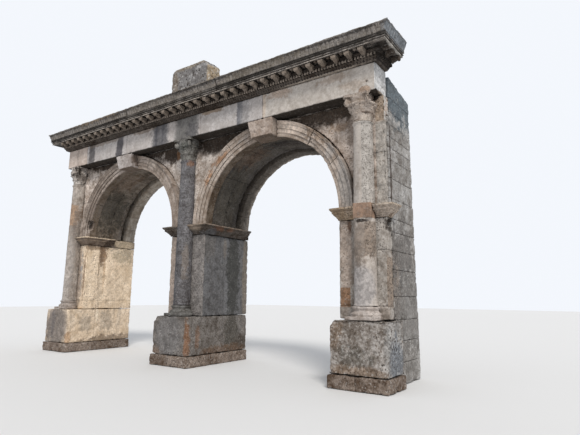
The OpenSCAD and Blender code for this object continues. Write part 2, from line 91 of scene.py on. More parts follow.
def added(name, data):
    """A new object in the scene."""
    made = bpy.data.objects.new(name, data)
    bpy.context.scene.collection.objects.link(made)
    return made


def quarried(node):
    """A copy of a CAD node to carve from, with its loose triangles joined into plain faces."""
    rough = added("rough_" + node, frame["nodes"][node].data.copy())
    rough.data.materials.clear()
    weld, flat = {"threshold": 0.00002}, {"angle_limit": 0.01}
    return shape(rough, ("customdata_custom_splitnormals_clear", {}), ("remove_doubles", weld),
                 ("dissolve_limited", flat))


def copied(piece, way=(0, 0, 0)):
    """A copy of the piece with a mesh of its own, moved this way."""
    pick(piece)
    bpy.ops.object.duplicate()
    bpy.ops.transform.translate(value=way)
    bpy.ops.object.transform_apply()
    return bpy.context.view_layer.objects.active


def finish(block, kind, **settings):
    """Adds one modifier and applies it."""
    pick(block)
    modifier = block.modifiers.new(kind.title(), kind)
    for name, value in settings.items():
        setattr(modifier, name, value)
    bpy.ops.object.modifier_apply(modifier=modifier.name)
    return block


def eat(block, size, depth, contrast=1.0, level=1.0):
    """Wears the surface in by a cloudy pattern of this size and depth, in metres."""
    if depth:
        pattern = bpy.data.textures.new("wear", "CLOUDS")
        pattern.noise_scale = size
        pattern.noise_depth = 2
        pattern.contrast = contrast
        pattern.intensity = level
        pattern.use_clamp = True
        finish(block, "DISPLACE", texture=pattern, texture_coords="LOCAL", direction="NORMAL",
               mid_level=0.0, strength=-depth)
    return block


def rows(piece, what="co"):
    """Where each point lies along X, Y and Z, or with "normal" which way it faces."""
    table = np.empty(len(piece.data.vertices) * 3)
    piece.data.vertices.foreach_get(what, table)
    return table.reshape(-1, 3)


def chosen(piece, marked):
    """Enters edit mode with the marked points selected."""
    pick(piece)
    mesh = piece.data
    mesh.edges.foreach_set("select", np.zeros(len(mesh.edges), dtype=bool))
    mesh.polygons.foreach_set("select", np.zeros(len(mesh.polygons), dtype=bool))
    mesh.vertices.foreach_set("select", marked)
    bpy.context.tool_settings.mesh_select_mode = (True, False, False)
    enter("EDIT")


def seam(axis, at, **reach):
    """A joint across an axis. The reach gives the stretches of the other axes it runs along."""
    facing = np.array([float(name == axis) for name in "xyz"])
    return facing, facing * at, {"xyz".index(name): stretches for name, stretches in reach.items()}


def reached(places, reach):
    """Which places lie within the stretches of a joint."""
    inside = np.ones(len(places), dtype=bool)
    for axis, stretches in reach.items():
        at = places[:, axis]
        inside &= np.any([(at > low) & (at < high) for low, high in stretches], axis=0)
    return inside


def scored(stone, seams, deep, gap, zone=0.07):
    """Cuts the joints between blocks into the surface as grooves, in a zone along each joint."""
    for facing, point, reach in seams:
        places = rows(stone)
        chosen(stone, (np.abs((places - point) @ facing) < zone) & reached(places, reach))
        for side in (gap, -gap):
            bpy.ops.mesh.bisect(plane_co=point + facing * side, plane_no=facing)
            bpy.ops.mesh.select_more()
            bpy.ops.mesh.select_more()
        bpy.ops.mesh.bisect(plane_co=point, plane_no=facing)
        bpy.ops.transform.shrink_fatten(value=-deep)
        enter("OBJECT")
    return stone


def written(stone, name, values):
    """Keeps a number for each point in the mesh, for its material."""
    kept = stone.data.attributes
    (kept.get(name) or kept.new(name, "FLOAT", "POINT")).data.foreach_set("value", values)
    return stone


def toned(stone, seams=(), marked=0.0, line=0.003):
    """Gives each block between the joints a tone of its own, as stones of different beds have,
    and marks the line of each joint as a dark joint, and the carved hollows given as painted shade."""
    places = rows(stone)
    total = np.full(len(places), chance.uniform(0, 9))
    joint = np.zeros(len(places)) + marked
    for facing, point, reach in seams:
        off, near = (places - point) @ facing, reached(places, reach)
        joint[near & (np.abs(off) < line)] = 1
        total += np.sign(off) * near * chance.uniform(1, 9)
    written(stone, "joint", joint)
    return written(stone, "tone", np.sin(total * 7))


def worked(block, seams=(), voxel=0.025, soften=2, dent=0.012, chip=0.018, grit=0.0, grain=0.035,
           keep=0.6, deep=0.014, gap=0.007):
    """Makes worn stone that stays inside a sawn block: rounds its arrises, wears in dents, chips
    and grit of these depths, keeps this share of the faces, and scores the joints."""
    stone = copied(block)
    finish(stone, "REMESH", mode="VOXEL", voxel_size=voxel)
    finish(stone, "SHRINKWRAP", target=block, wrap_method="NEAREST_SURFACEPOINT")
    finish(stone, "SMOOTH", factor=0.5, iterations=soften)
    eat(stone, 0.45, dent)
    eat(stone, 0.11, chip, contrast=3.0, level=0.6)
    eat(stone, grain, grit)
    finish(stone, "DECIMATE", ratio=keep)
    scored(stone, seams, deep, gap)
    bpy.data.objects.remove(block)
    return toned(stone, seams)


def joined(stones, name):
    """Joins the stones as one named piece."""
    pick(stones[0])
    for stone in stones:
        stone.select_set(True)
    if len(stones) > 1:
        bpy.ops.object.join()
    stones[0].name = stones[0].data.name = name
    return stones[0]


def hollow_deposit_and_shade(piece, rounds=2):
    """Writes how deep in a hollow each point lies, darkened there as deposits and as painted shade.
    """
    mesh = piece.data
    places, facings = rows(piece), rows(piece, "normal")
    ends = np.empty(len(mesh.edges) * 2, dtype=np.int32)
    mesh.edges.foreach_get("vertices", ends)
    ends = ends.reshape(-1, 2)
    near, far = np.concatenate([ends, ends[:, ::-1]]).T
    away = places[far] - places[near]
    away /= np.linalg.norm(away, axis=1, keepdims=True) + 1e-9
    links = np.bincount(near, minlength=len(places)) + 1
    hollow = np.bincount(near, (away * facings[near]).sum(axis=1), len(places)) / links
    for _ in range(rounds):
        hollow = (np.bincount(near, hollow[far], len(places)) + hollow) / links
    return written(piece, "hollow_deposit_and_shade", hollow)


class Wire:
    """A value in the material being written. Sums and products of wires add Math nodes."""

    tree = None

    def __init__(self, socket):
        self.socket = socket

    @classmethod
    def node(cls, kind, sockets=(), output=0, **settings):
        """Any other node: its type, its settings, and the values or links of its sockets."""
        made = cls.tree.nodes.new("ShaderNode" + kind)
        for name, value in settings.items():
            setattr(made, name, value)
        for name, value in dict(sockets).items():
            if isinstance(value, Wire):
                cls.tree.links.new(value.socket, made.inputs[name])
            else:
                made.inputs[name].default_value = value
        return cls(made.outputs[output])

    def maths(self, operation, first, second):
        return Wire.node("Math", {0: first, 1: second}, operation=operation)

    def __add__(self, other):
        return self.maths("ADD", self, other)

    def __sub__(self, other):
        return self.maths("SUBTRACT", self, other)

    def __rsub__(self, other):
        return self.maths("SUBTRACT", other, self)

    def __mul__(self, other):
        return self.maths("MULTIPLY", self, other)

    __radd__, __rmul__ = __add__, __mul__


def noise(place, size, detail=4.0, rough=0.55, stretch=None):
    """A cloudy value around a half, whose lumps are this many metres across."""
    if stretch:
        place = Wire.node("VectorMath", {0: place, 1: stretch}, operation="MULTIPLY")
    return Wire.node("TexNoise", {"Vector": place, "Scale": 1 / size, "Detail": detail,
                                  "Roughness": rough})


def rise(value, low, high):
    """0 below low, 1 above high, and a smooth step between."""
    return Wire.node("MapRange", {0: value, 1: low, 2: high}, interpolation_type="SMOOTHSTEP")


def blend(under, over, amount, **settings):
    return Wire.node("Mix", {0: amount, 6: under, 7: over}, output=2, data_type="RGBA", **settings)


def rgb(*levels, scale=1.0):
    """A colour in the steps of 0 to 255 that a colour chart gives, made lighter or darker."""
    return tuple(((max(c * scale, 0) / 255 + 0.055) / 1.055) ** 2.4 for c in levels) + (1.0,)


def covered(place, fray, middle, reach, strength, ragged, lean, square):
    """How strongly a stain covers each place."""
    off = Wire.node("Mapping", {"Vector": place, "Location": middle, "Scale": reach,
                                "Rotation": (0.0, lean, 0.0)}, vector_type="TEXTURE")
    if square:
        off = Wire.node("VectorMath", {0: off}, operation="ABSOLUTE")
        x, y, z = (Wire.node("SeparateXYZ", {0: off}, output=axis) for axis in range(3))
        far = x.maths("MAXIMUM", x, y)
        far = far.maths("MAXIMUM", far, z)
        return (1 - rise(far + fray * ragged * 0.3, 0.93, 1.03)) * strength
    far = Wire.node("VectorMath", {0: off}, output=1, operation="LENGTH")
    return (1 - rise(far + fray * ragged, 0.7, 1.2)) * strength


def stained(stone, pitted, place, fray, fleck, middle, reach, colour, strength=0.8, ragged=0.5,
            lean=0.0, square=False, pits=None):
    """Lays a patch of another colour over the stone. A stain is its middle and its reach in metres,
    its colour, how strong it is, how ragged its edge is, how far it leans along the wall, whether
    it fills a square stone, and how pitted it is."""
    cover = covered(place, fray, middle, reach, strength, ragged, lean, square)
    stone = blend(stone, blend(rgb(*colour, scale=0.86), rgb(*colour, scale=1.14), fleck), cover)
    if pits is not None:
        pitted = pitted + cover * (pits - pitted)
    return stone, pitted


def limestone(name, colour, spread=24, soot=(88, 87, 88), streaks=0.3, streak_width=0.14, pits=0.5,
              pit_size=0.04, stains=(), bump=0.6, speckle=0.45, grit_size=0.04, salt=0.2, dirt=0.75,
              crust=(50, 43, 37)):
    """Weathered limestone of one mean colour: cloudy and mottled, with run-off streaks, stains,
    specks, pits, deposits and painted shade in its hollows, and a tone of its own for each block."""
    material = bpy.data.materials.new(name)
    material.use_nodes = True
    Wire.tree = material.node_tree
    shader = material.node_tree.nodes["Principled BSDF"]
    light = rgb(*(c + spread for c in colour))
    dark = rgb(*(c - spread * warmth for c, warmth in zip(colour, (1.1, 1.2, 1.3))))
    crust = rgb(*crust)
    place = Wire.node("TexCoord", output=3)
    broad = noise(place, 0.9, 3.0)
    cloud = noise(place, 0.2, 5.0, 0.65)
    mottle = noise(place, 0.075, 4.0, 0.65)
    grain = noise(place, grit_size, 4.0, 0.7)
    run = noise(place, streak_width, 3.0, 0.6, (1.0, 1.0, 0.1))
    tone, joint, hollow = (Wire.node("Attribute", output=2, attribute_name=kept)
                           for kept in ("tone", "joint", "hollow_deposit_and_shade"))
    mixed = broad * 0.6 + cloud * 0.9 + mottle * 0.7 + tone * 0.06
    patchy = blend(dark, light, rise(mixed, 0.88, 1.32))
    patchy = blend(patchy, rgb(*soot), rise(run * 0.8 + broad * 0.3, 0.57, 0.72) * streaks)
    fray = (cloud * 1.2 + run * 0.4 + mottle * 0.8 - 1.2) * 2.5
    fleck = rise(cloud + mottle, 0.82, 1.18)
    pitted = rise(cloud + (broad - 0.5) * 0.6, 0.48, 0.6) * pits
    for stain in stains:
        patchy, pitted = stained(patchy, pitted, place, fray, fleck, *stain)
    specks = grain * 0.7 + mottle * 0.5
    shade = blend(patchy, rgb(176, 168, 160), 1.0, blend_type="MULTIPLY")
    shine = blend(patchy, (1.0, 0.98, 0.95, 1.0), salt)
    patchy = blend(patchy, shade, rise(specks, 0.62, 0.76) * speckle)
    patchy = blend(patchy, shine, rise(1.2 - specks, 0.63, 0.76) * speckle)
    hole = Wire.node("TexVoronoi", {"Vector": place, "Scale": 1 / pit_size, "Randomness": 1.0})
    hole = (1 - rise(hole, 0.18, 0.4)) * pitted
    patchy = blend(patchy, crust, hole * 0.85)
    # Hollows are darkened towards the dark colour: partly lichen and deposits, partly painted
    # shade.
    patchy = blend(patchy, crust, rise(hollow + (cloud - 0.5) * 0.15, 0.05, 0.32) * dirt)
    # Joint lines are painted as dark joints; the carved hollows marked with them are painted shade.
    patchy = blend(patchy, crust, rise(joint + (cloud - 0.5), 0.2, 0.8) * 0.85)
    height = grain * 0.6 + mottle * 0.5 + cloud * 0.4 - hole * 1.5
    normal = Wire.node("Bump", {"Height": height, "Strength": bump, "Distance": 0.015})
    roughness = 0.86 + (grain - 0.5) * 0.2
    for socket, value in (("Base Color", patchy), ("Normal", normal), ("Roughness", roughness)):
        material.node_tree.links.new(value.socket, shader.inputs[socket])
    shader.inputs["Specular IOR Level"].default_value = 0.2
    return material


def laid(stones, name, node, slot, **looks):
    """Puts the stones up as one piece in place of their CAD node, in a limestone of its own."""
    piece = joined(stones, name)
    bpy.ops.object.shade_smooth()
    hollow_deposit_and_shade(piece)
    piece.data.materials.append(limestone(node.replace("_", " ") + " limestone", **looks))
    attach(piece, "root")
    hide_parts(node)
    return piece


for side, joint_x, width in (("left", -5.06, (-5.04, -4.0)), ("middle", 0.1, (-1.0, 1.0)),
                             ("right", 4.95, (4.0, 5.04))):
    node = side + "_foot_course"
    seams = seam("x", joint_x, y=[(-1, 0.36)]), seam("y", 0.37, x=[width])
    stone = worked(quarried(node), seams, chip=0.025)
    laid([stone], side + "_street_course", node, "brown_limestone", colour=(110, 97, 87),
         spread=34, streaks=0.1, pits=1.0, pit_size=0.05, speckle=1.3)

# Pedestals. One height of big blocks under each pier, squared by hand and laid without mortar.
# Their outer corners are rounded by wear, and the right one has a coarse, pitted front.


def trim(block, point, facing, keep_below=True):
    """Saws off what lies past the plane, or what lies before it, and closes the cut."""
    return shape(block, ("bisect", dict(plane_co=point, plane_no=facing, use_fill=True,
                                        clear_outer=keep_below, clear_inner=not keep_below)))


def pedestal(side, slot, corners, wear, **looks):
    """A block with worn corners, each given by its place, its size and its way along X."""
    node = side + "_pedestal"
    block = quarried(node)
    for x, y, z, size, way in corners:
        outwards = (0.7 * way, -0.3, 0.6)
        trim(block, (x - size * way, y, z), outwards)
    laid([worked(block, soften=1, **wear)], side + "_pedestal_block", node, slot, **looks)


blue_grey, rust = (100, 105, 112), (126, 92, 68)
pedestal("left", "warm_limestone", [(-4.4, -0.43, 1.235, 0.03, 1)],
         dict(seams=[seam("y", 0.433)], chip=0.024), colour=(210, 191, 168), spread=22,
         speckle=0.7, stains=[
    ((-5.02, -0.5, 0.72), (0.7, 0.16, 0.8), (116, 109, 105), 0.92, 0.12),
    ((-5.2, -0.5, 0.9), (0.12, 0.16, 0.6), (98, 93, 93), 0.6),
    ((-4.4, -0.43, 0.42), (0.1, 0.12, 0.2), (166, 130, 96), 0.6, 0.9),
    ((-4.4, 0.12, 0.82), (0.1, 0.2, 0.25), (156, 146, 134), 0.6, 0.8),
    ((-4.4, 0.86, 0.86), (0.1, 0.24, 0.3), (154, 142, 128), 0.6, 0.8),
    ((-4.4, 0.5, 1.05), (0.1, 0.05, 0.2), (222, 208, 188), 0.6),
    ((-4.4, 1.0, 0.3), (0.1, 0.9, 0.14), (96, 80, 66), 0.7),
])
pedestal("middle", "grey_limestone", [(-0.61, -0.4, 1.17, 0.13, -1), (0.61, -0.43, 1.17, 0.03, 1)],
         dict(chip=0.024), colour=(102, 97, 93), spread=28, pits=0.8, speckle=1.1, salt=0.14,
         stains=[
    ((-0.05, -0.46, 0.72), (0.5, 0.12, 0.55), (112, 110, 110), 0.7, 0.2),
    ((0.56, -0.44, 0.6), (0.07, 0.12, 0.5), rust, 0.8, 0.7),
    ((0.62, -0.1, 0.68), (0.06, 0.08, 0.26), rust, 0.5, 0.9),
    ((0.61, 1.12, 0.7), (0.1, 0.3, 0.6), (74, 70, 64), 0.8, 0.4),
    ((-0.5, -0.45, 0.3), (0.25, 0.12, 0.12), (112, 92, 76), 0.6, 1.0),
    ((0.61, 1.5, 0.4), (0.1, 0.3, 0.3), (66, 58, 50)),
    ((0.61, 0.9, 0.28), (0.1, 0.9, 0.18), (98, 78, 62), 0.7, 0.7),
])
pedestal("right", "pale_limestone", [(4.4, -0.43, 1.235, 0.09, -1), (5.57, -0.43, 1.235, 0.03, 1)],
         dict(voxel=0.015, grit=0.024, grain=0.05, keep=0.5), colour=(148, 143, 139), spread=40,
         streaks=0.1, pits=0.9, pit_size=0.06, speckle=1.7, grit_size=0.055, bump=1.0, stains=[
    ((4.5, -0.46, 1.0), (0.2, 0.12, 0.28), (122, 104, 88), 0.6, 0.8),
    ((5.6, -0.1, 0.75), (0.12, 0.5, 0.7), (142, 140, 138), 0.8, 0.2),
    ((5.6, 0.0, 0.52), (0.12, 0.34, 0.46), blue_grey, 0.8, 0.25),
    ((5.6, 0.0, 0.98), (0.12, 0.05, 0.09), blue_grey, 0.8, 0.3),
    ((4.95, -0.46, 0.34), (0.7, 0.12, 0.12), (122, 104, 88), 0.7, 0.6),
    ((4.95, -0.46, 0.6), (0.35, 0.1, 0.2), (98, 94, 88), 0.6, 0.9),
])

# Piers. Big upright blocks between pedestal and impost, with a narrow strip of wall left and right
# of each column. Carts and the portcullis have worn the jambs, and water has run down them.


def boulder(middle, size, seed):
    """A rough lump of stone, to knock a hole with."""
    bpy.ops.object.select_all(action="DESELECT")
    bpy.ops.mesh.primitive_ico_sphere_add(subdivisions=3, radius=1, location=middle)
    lump = bpy.context.active_object
    bpy.ops.transform.resize(value=size)
    bpy.ops.object.transform_apply()
    enter("EDIT")
    bpy.ops.transform.vertex_random(offset=min(size) * 0.16, seed=seed)
    enter("OBJECT")
    return lump


def carve(piece, tools, way="DIFFERENCE"):
    """Takes the tools' shapes out of the piece."""
    tool = joined(tools, "tool")
    finish(piece, "BOOLEAN", object=tool, operation=way, solver="EXACT")
    bpy.data.objects.remove(tool)
    return piece


def pier(side, slot, seams, **looks):
    node = side + "_pier"
    stone = worked(quarried(node), seams, voxel=0.022, soften=1, chip=0.022, grit=0.008, keep=0.5)
    if side == "right":
        carve(stone, [boulder((5.45, 0.14, 3.08), (0.13, 0.13, 0.1), 5)])
    laid([stone], side + "_pier_blocks", node, slot, **looks)


leaning_joint = (np.array((0, 1, 0.05)), np.array((0, 0.74, 2.3)), {})
pier("left", "warm_limestone", [seam("z", 1.5)], colour=(222, 202, 177), spread=20, pits=0.9,
     streak_width=0.06, pit_size=0.035, speckle=0.7, soot=(132, 112, 92), stains=[
    ((-4.9, -0.02, 2.2), (0.47, 0.06, 1.3), (138, 125, 116), 0.9, 0.1),
    # Painted highlight: a pale bluish upright line beside the shaft.
    ((-4.66, -0.02, 2.4), (0.05, 0.05, 0.8), (164, 163, 164), 0.7, 0.3),
    ((-4.5, -0.02, 2.2), (0.05, 0.05, 1.2), (140, 112, 88), 0.8, 0.4),
    ((-4.4, 0.58, 3.0), (0.1, 0.15, 0.42), (120, 92, 68), 0.85),
    ((-4.4, 0.66, 2.3), (0.1, 0.04, 0.7), (172, 144, 114), 0.7),
    ((-4.4, 0.44, 2.5), (0.1, 0.02, 0.7), (140, 116, 92), 0.7, 0.4),
    ((-4.4, 1.3, 3.0), (0.1, 0.4, 0.35), (172, 158, 136), 0.7, 0.7),
    ((-4.4, 0.9, 1.9), (0.1, 0.5, 0.5), (200, 182, 160), 0.5, 0.9),
    ((-4.4, 0.1, 3.12), (0.1, 0.5, 0.08), (136, 112, 90), 0.7, 0.6),
])
pier("middle", "grey_limestone", [leaning_joint], colour=(93, 93, 95), spread=20, streaks=0.4,
     streak_width=0.08, pits=0.6, soot=(70, 69, 70), stains=[
    ((0.61, 1.12, 2.2), (0.1, 0.25, 1.4), (62, 62, 60), 0.9),
    ((0.61, 1.64, 2.2), (0.1, 0.15, 1.4), (118, 110, 101), 0.85, 0.3),
    ((0.61, 0.2, 3.0), (0.1, 0.26, 0.5), (100, 97, 95), 0.7, 0.7),
    ((0.61, 0.78, 2.9), (0.1, 0.06, 0.3), (116, 108, 100), 0.6),
    ((0.4, -0.02, 2.2), (0.22, 0.06, 1.3), (124, 119, 116), 0.85, 0.3, 0, True, 0.8),
    ((-0.45, -0.02, 2.2), (0.2, 0.06, 1.3), (150, 137, 128), 0.9, 0.3, 0, True),
    ((-0.61, 0.8, 2.2), (0.1, 1.2, 1.4), (150, 138, 124), 0.7),
])
pier("right", "pale_limestone", [seam("z", 1.5), seam("z", 2.56, x=[(5.2, 5.5)], y=[(-0.1, 0.3)])],
     colour=(148, 142, 136), spread=28, streaks=0.2, pits=0.8, speckle=0.7, stains=[
    ((4.55, -0.02, 2.6), (0.16, 0.08, 1.3), (154, 139, 128), 0.7, 0.3),
    ((5.46, 0.2, 1.95), (0.05, 0.26, 0.5), (124, 110, 98), 0.8, 0.4, 0, True, 1.0),
    ((4.53, -0.03, 1.66), (0.11, 0.1, 0.19), (128, 100, 78), 0.95, 0.06, 0, True),
    ((4.63, -0.03, 3.08), (0.07, 0.08, 0.16), (92, 70, 56), 0.85, 0.6),
    ((5.3, -0.02, 1.4), (0.3, 0.1, 0.18), (128, 112, 100), 0.4, 0.8),
    # Painted shade in the knocked hole.
    ((5.45, 0.14, 3.07), (0.16, 0.17, 0.15), (56, 48, 42), 0.9),
    ((5.47, 0.27, 2.72), (0.05, 0.02, 0.24), (60, 52, 46), 0.9, 0.2),
    ((5.47, 0.3, 2.0), (0.1, 0.3, 0.5), (136, 122, 110), 0.8, 0.7),
    ((4.4, 0.9, 2.4), (0.1, 1.0, 1.0), (140, 128, 116), 0.6, 0.4),
])

# Column bases. Attic bases with two rolls and a hollow between them, turned on a square plinth and
# cut from one block with it. Their rolls are worn and chipped.

for side, slot, colour in (("left", "pale_limestone", (142, 132, 125)),
                           ("middle", "grey_limestone", (95, 94, 92)),
                           ("right", "pale_limestone", (157, 148, 142))):
    node = side + "_column_base"
    stone = worked(quarried(node), voxel=0.012, soften=1, dent=0.008, chip=0.012)
    laid([stone], side + "_attic_base", node, slot, colour=colour, spread=28, dirt=1.0)

# Shafts. Unfluted half columns with a slight swelling and a ring at the neck, of up to three drums.
# A squared stone was let into the right one, and the stone below it has flaked.


def shaft(side, slot, drum_joints, **looks):
    node = side + "_shaft"
    stone = worked(quarried(node), [seam("z", z) for z in drum_joints], voxel=0.014, soften=1,
                   dent=0.004, chip=0.008, deep=0.01, gap=0.005)
    if side == "right":
        carve(stone, [boulder((5.06, -0.31, 3.1), (0.12, 0.05, 0.05), 3)])
    laid([stone], side + "_column_shaft", node, slot, **looks)


shaft("left", "pale_limestone", [3.8], colour=(158, 149, 141), streaks=0.4, pits=0.6, stains=[
    ((-4.99, -0.2, 4.13), (0.18, 0.2, 0.34), (152, 125, 102), 0.8, 0.8, 0, True),
    ((-4.84, -0.18, 3.2), (0.09, 0.2, 1.6), (116, 106, 98), 0.6),
    ((-5.05, -0.25, 2.6), (0.3, 0.2, 1.1), (170, 163, 158), 0.6),
    ((-5.05, -0.25, 4.85), (0.3, 0.2, 0.2), (166, 157, 150), 0.7, 0.3),
])
shaft("middle", "grey_limestone", [3.2, 4.75], colour=(96, 95, 98), spread=26, soot=(60, 60, 63),
      streaks=0.5, pits=0.7, speckle=1.1, salt=0.13, stains=[
    ((0.2, -0.2, 5.04), (0.1, 0.14, 0.1), rust, 0.7, 0.8),
    ((0.17, -0.2, 2.53), (0.07, 0.12, 0.4), (128, 119, 112), 0.6, 0.9),
    ((-0.12, -0.25, 2.2), (0.12, 0.2, 1.0), (82, 82, 86), 0.6, 0.6),
])
shaft("right", "pale_limestone", [], colour=(164, 156, 149), spread=18, streaks=0.2, pits=0.1,
      pit_size=0.032, stains=[
    ((5.17, -0.2, 4.25), (0.12, 0.25, 0.95), (160, 156, 151), 0.65, 0.5, 0, True, 1.0),
    ((5.0, -0.26, 1.84), (0.3, 0.25, 0.45), (157, 152, 150), 0.95, 0.3, 0, False, 0.1),
    ((5.03, -0.24, 2.7), (0.26, 0.25, 0.45), (121, 109, 99)),
    ((5.18, -0.2, 2.76), (0.09, 0.25, 0.34), (128, 115, 104), 0.7, 0.3, 0, True, 1.0),
    # Painted shadow under the let-in stone, where the shaft below has flaked back.
    ((5.04, -0.3, 3.11), (0.14, 0.1, 0.035), (50, 43, 38), 0.95),
    ((5.06, -0.25, 3.31), (0.25, 0.24, 0.15), (130, 107, 91), 0.95, 0.05, 0, True, 0.1),
])

# Capitals. Leafy capitals with two rows of leaves, corner scrolls, a hollow-sided abacus and a
# round boss, each carved from one block. The left one is eaten to a stump, and a horn of the right
# one is gone.


def squeezed(piece, marked, scale, middle):
    """Draws the marked points together about a middle."""
    chosen(piece, marked)
    bpy.ops.transform.resize(value=scale, center_override=middle)
    enter("OBJECT")


def capital(side, slot, eaten, soften=1, **looks):
    node = side + "_capital"
    block = quarried(node)
    if side == "left":
        trim(block, (-5.19, -0.27, 5.6), (-0.92, -0.36, 0.15))
    stone = worked(block, voxel=0.009, soften=soften, dent=eaten * 0.6, chip=eaten, grit=0.009,
                   keep=0.5)
    if side == "right":
        x, y, z = rows(stone).T
        squeezed(stone, (x > 5.235) & (z > 5.5) & (z < 5.69), (0.3, 0.5, 0.6), (5.2, -0.22, 5.58))
    laid([stone], side + "_leaf_capital", node, slot, dirt=1.0, **looks)


capital("left", "warm_limestone", 0.03, 3, colour=(168, 161, 155), spread=26, pits=1.0,
        pit_size=0.06, stains=[
    ((-4.8, -0.3, 5.4), (0.1, 0.3, 0.3), (86, 76, 68), 0.7, 0.6),
])
capital("middle", "grey_limestone", 0.012, colour=(84, 82, 78), spread=38, pits=0.8, speckle=1.0,
        salt=0.14, stains=[
    ((0.05, -0.36, 5.48), (0.2, 0.3, 0.12), (76, 80, 76), 0.6, 0.6),
    ((-0.14, -0.42, 5.55), (0.12, 0.12, 0.1), (156, 152, 148)),
])
capital("right", "warm_limestone", 0.009, colour=(144, 132, 122), spread=32, pits=0.6,
        speckle=0.8, stains=[
    ((5.17, -0.33, 5.74), (0.14, 0.08, 0.07), (162, 138, 119), 0.7, 0.2, 0, False, 0.0),
    ((5.19, -0.26, 5.19), (0.12, 0.2, 0.05), (172, 162, 152), 0.8, 0.2, 0, True, 0.1),
    ((4.97, -0.28, 5.16), (0.11, 0.14, 0.014), (98, 86, 76), 0.8, 0.3),
    # Painted shadow beneath the capital's bowl.
    ((5.2, -0.26, 5.285), (0.14, 0.2, 0.026), (84, 70, 60), 0.75, 0.5, 0.08),
])

# Imposts. One moulded course at the springing, with a slab, a cove and a thin fillet, laid as long
# blocks and blackened by dirt. The left one is broken off halfway along the jamb, and the left
# corners of the others are worn short.


def impost(side, slot, worn=None, **looks):
    """A worn one says where its left corner begins, and how much of the corner is left."""
    node = side + "_impost"
    block = quarried(node)
    if side == "left":
        trim(block, (-4.27, -0.2, 3.43), (0.7, -0.6, 0.25))
    stone = worked(block, voxel=0.01, soften=0, dent=0.005, chip=0.008, keep=0.35)
    if worn:
        edge, kept = worn
        x, y, z = rows(stone).T
        squeezed(stone, (x < edge) & (y < 0.3), (kept, 1, 1), (edge, 0, 3.3))
    laid([stone], side + "_impost_course", node, slot, dirt=1.0, **looks)


# Black crust and painted shade, for the dark zone under the architrave and the portcullis slot.
black_crust = (53, 41, 32)
impost("left", "brown_limestone", colour=(108, 93, 80), spread=26, stains=[
    # Painted highlight along the top of the slab.
    ((-4.2, 0.0, 3.42), (0.9, 1.2, 0.025), (200, 182, 160), 0.85, 0.3),
    ((-4.2, 0.0, 3.33), (0.9, 0.9, 0.012), (150, 132, 112), 0.7, 0.3),
    # Black crust and painted shade in the portcullis slot.
    ((-4.3, 0.75, 3.3), (0.2, 0.25, 0.12), black_crust, 0.8, 0.6),
    ((-4.6, 1.35, 3.32), (0.6, 0.45, 0.2), (196, 178, 152), 0.8, 0.4),
])
impost("middle", "grey_limestone", (-0.61, 0.72), colour=(80, 72, 65), spread=26, stains=[
    # Painted highlight along the top of the slab.
    ((0.5, -0.1, 3.42), (1.0, 2.0, 0.02), (146, 130, 116), 0.7, 0.4),
    ((0.4, -0.15, 3.36), (0.24, 0.2, 0.09), (136, 122, 108), 0.7, 0.6),
    ((0.73, 0.36, 3.35), (0.15, 0.2, 0.06), (116, 82, 62), 0.6, 0.9),
    ((0.75, 0.8, 3.35), (0.12, 0.12, 0.06), (112, 80, 62), 0.6, 0.9),
    ((0.62, 0.15, 3.25), (0.2, 0.2, 0.12), (94, 94, 96), 0.7, 0.6),
])
impost("right", "pale_limestone", (4.4, 0.6), colour=(150, 131, 110), spread=32, pits=0.9,
       speckle=0.8, stains=[
    ((5.4, 0.0, 3.32), (0.36, 0.45, 0.18), (166, 154, 143), 0.9),
    # Painted highlight along the top of the slab.
    ((5.4, 0.0, 3.42), (0.4, 0.4, 0.03), (182, 170, 156), 0.7),
    ((4.35, 0.2, 3.3), (0.3, 1.4, 0.2), (130, 113, 94), 0.7, 0.4),
    # Painted shade beneath the slab at the right end.
    ((5.4, 0.1, 3.26), (0.14, 0.1, 0.1), (110, 88, 70)),
    ((5.5, 0.28, 3.3), (0.1, 0.06, 0.2), (44, 38, 32), 0.9, 0.3),
])

# Archivolts. Moulded arch rings of a few long voussoirs each, with three flat bands that step out
# and a crowning moulding, and painted shade in the inner corners of the steps. Water from the
# cornice has stained the haunches. The underside is darker, partly from smoke, partly painted
# shade.


def template(node, point, facing):
    """The outline of a moulding, taken off the CAD piece at one place as a flat face."""
    return shape(quarried(node), ("bisect", dict(plane_co=point, plane_no=facing, use_fill=True,
                                                 clear_outer=True, clear_inner=True)))


def refined(piece, longest):
    """Halves the edges that are longer than this until none is left."""
    pick(piece)
    for _ in range(6):
        enter("EDIT")
        bpy.ops.mesh.select_all(action="DESELECT")
        bpy.ops.mesh.select_mode(type="EDGE")
        enter("OBJECT")
        spots = piece.data.vertices
        for edge in piece.data.edges:
            first, second = edge.vertices
            edge.select = (spots[first].co - spots[second].co).length > longest
        enter("EDIT")
        bpy.ops.mesh.subdivide(number_cuts=1)
        bpy.ops.mesh.select_mode(type="VERT")
        enter("OBJECT")
    return piece


def pushed(piece, marked, way):
    """Moves the marked points."""
    chosen(piece, marked)
    bpy.ops.transform.translate(value=way)
    enter("OBJECT")


spring_z, arch_x, arch_r = 3.43, 2.505, 1.895
band_edges = ((1.985, -0.006), (2.079, -0.028), (2.176, -0.052))
# Painted shade in the beam hole.
beam_hole = ((-4.37, 0.03, 3.8), (0.12, 0.11, 0.16), (46, 40, 36), 0.95, 0.2)


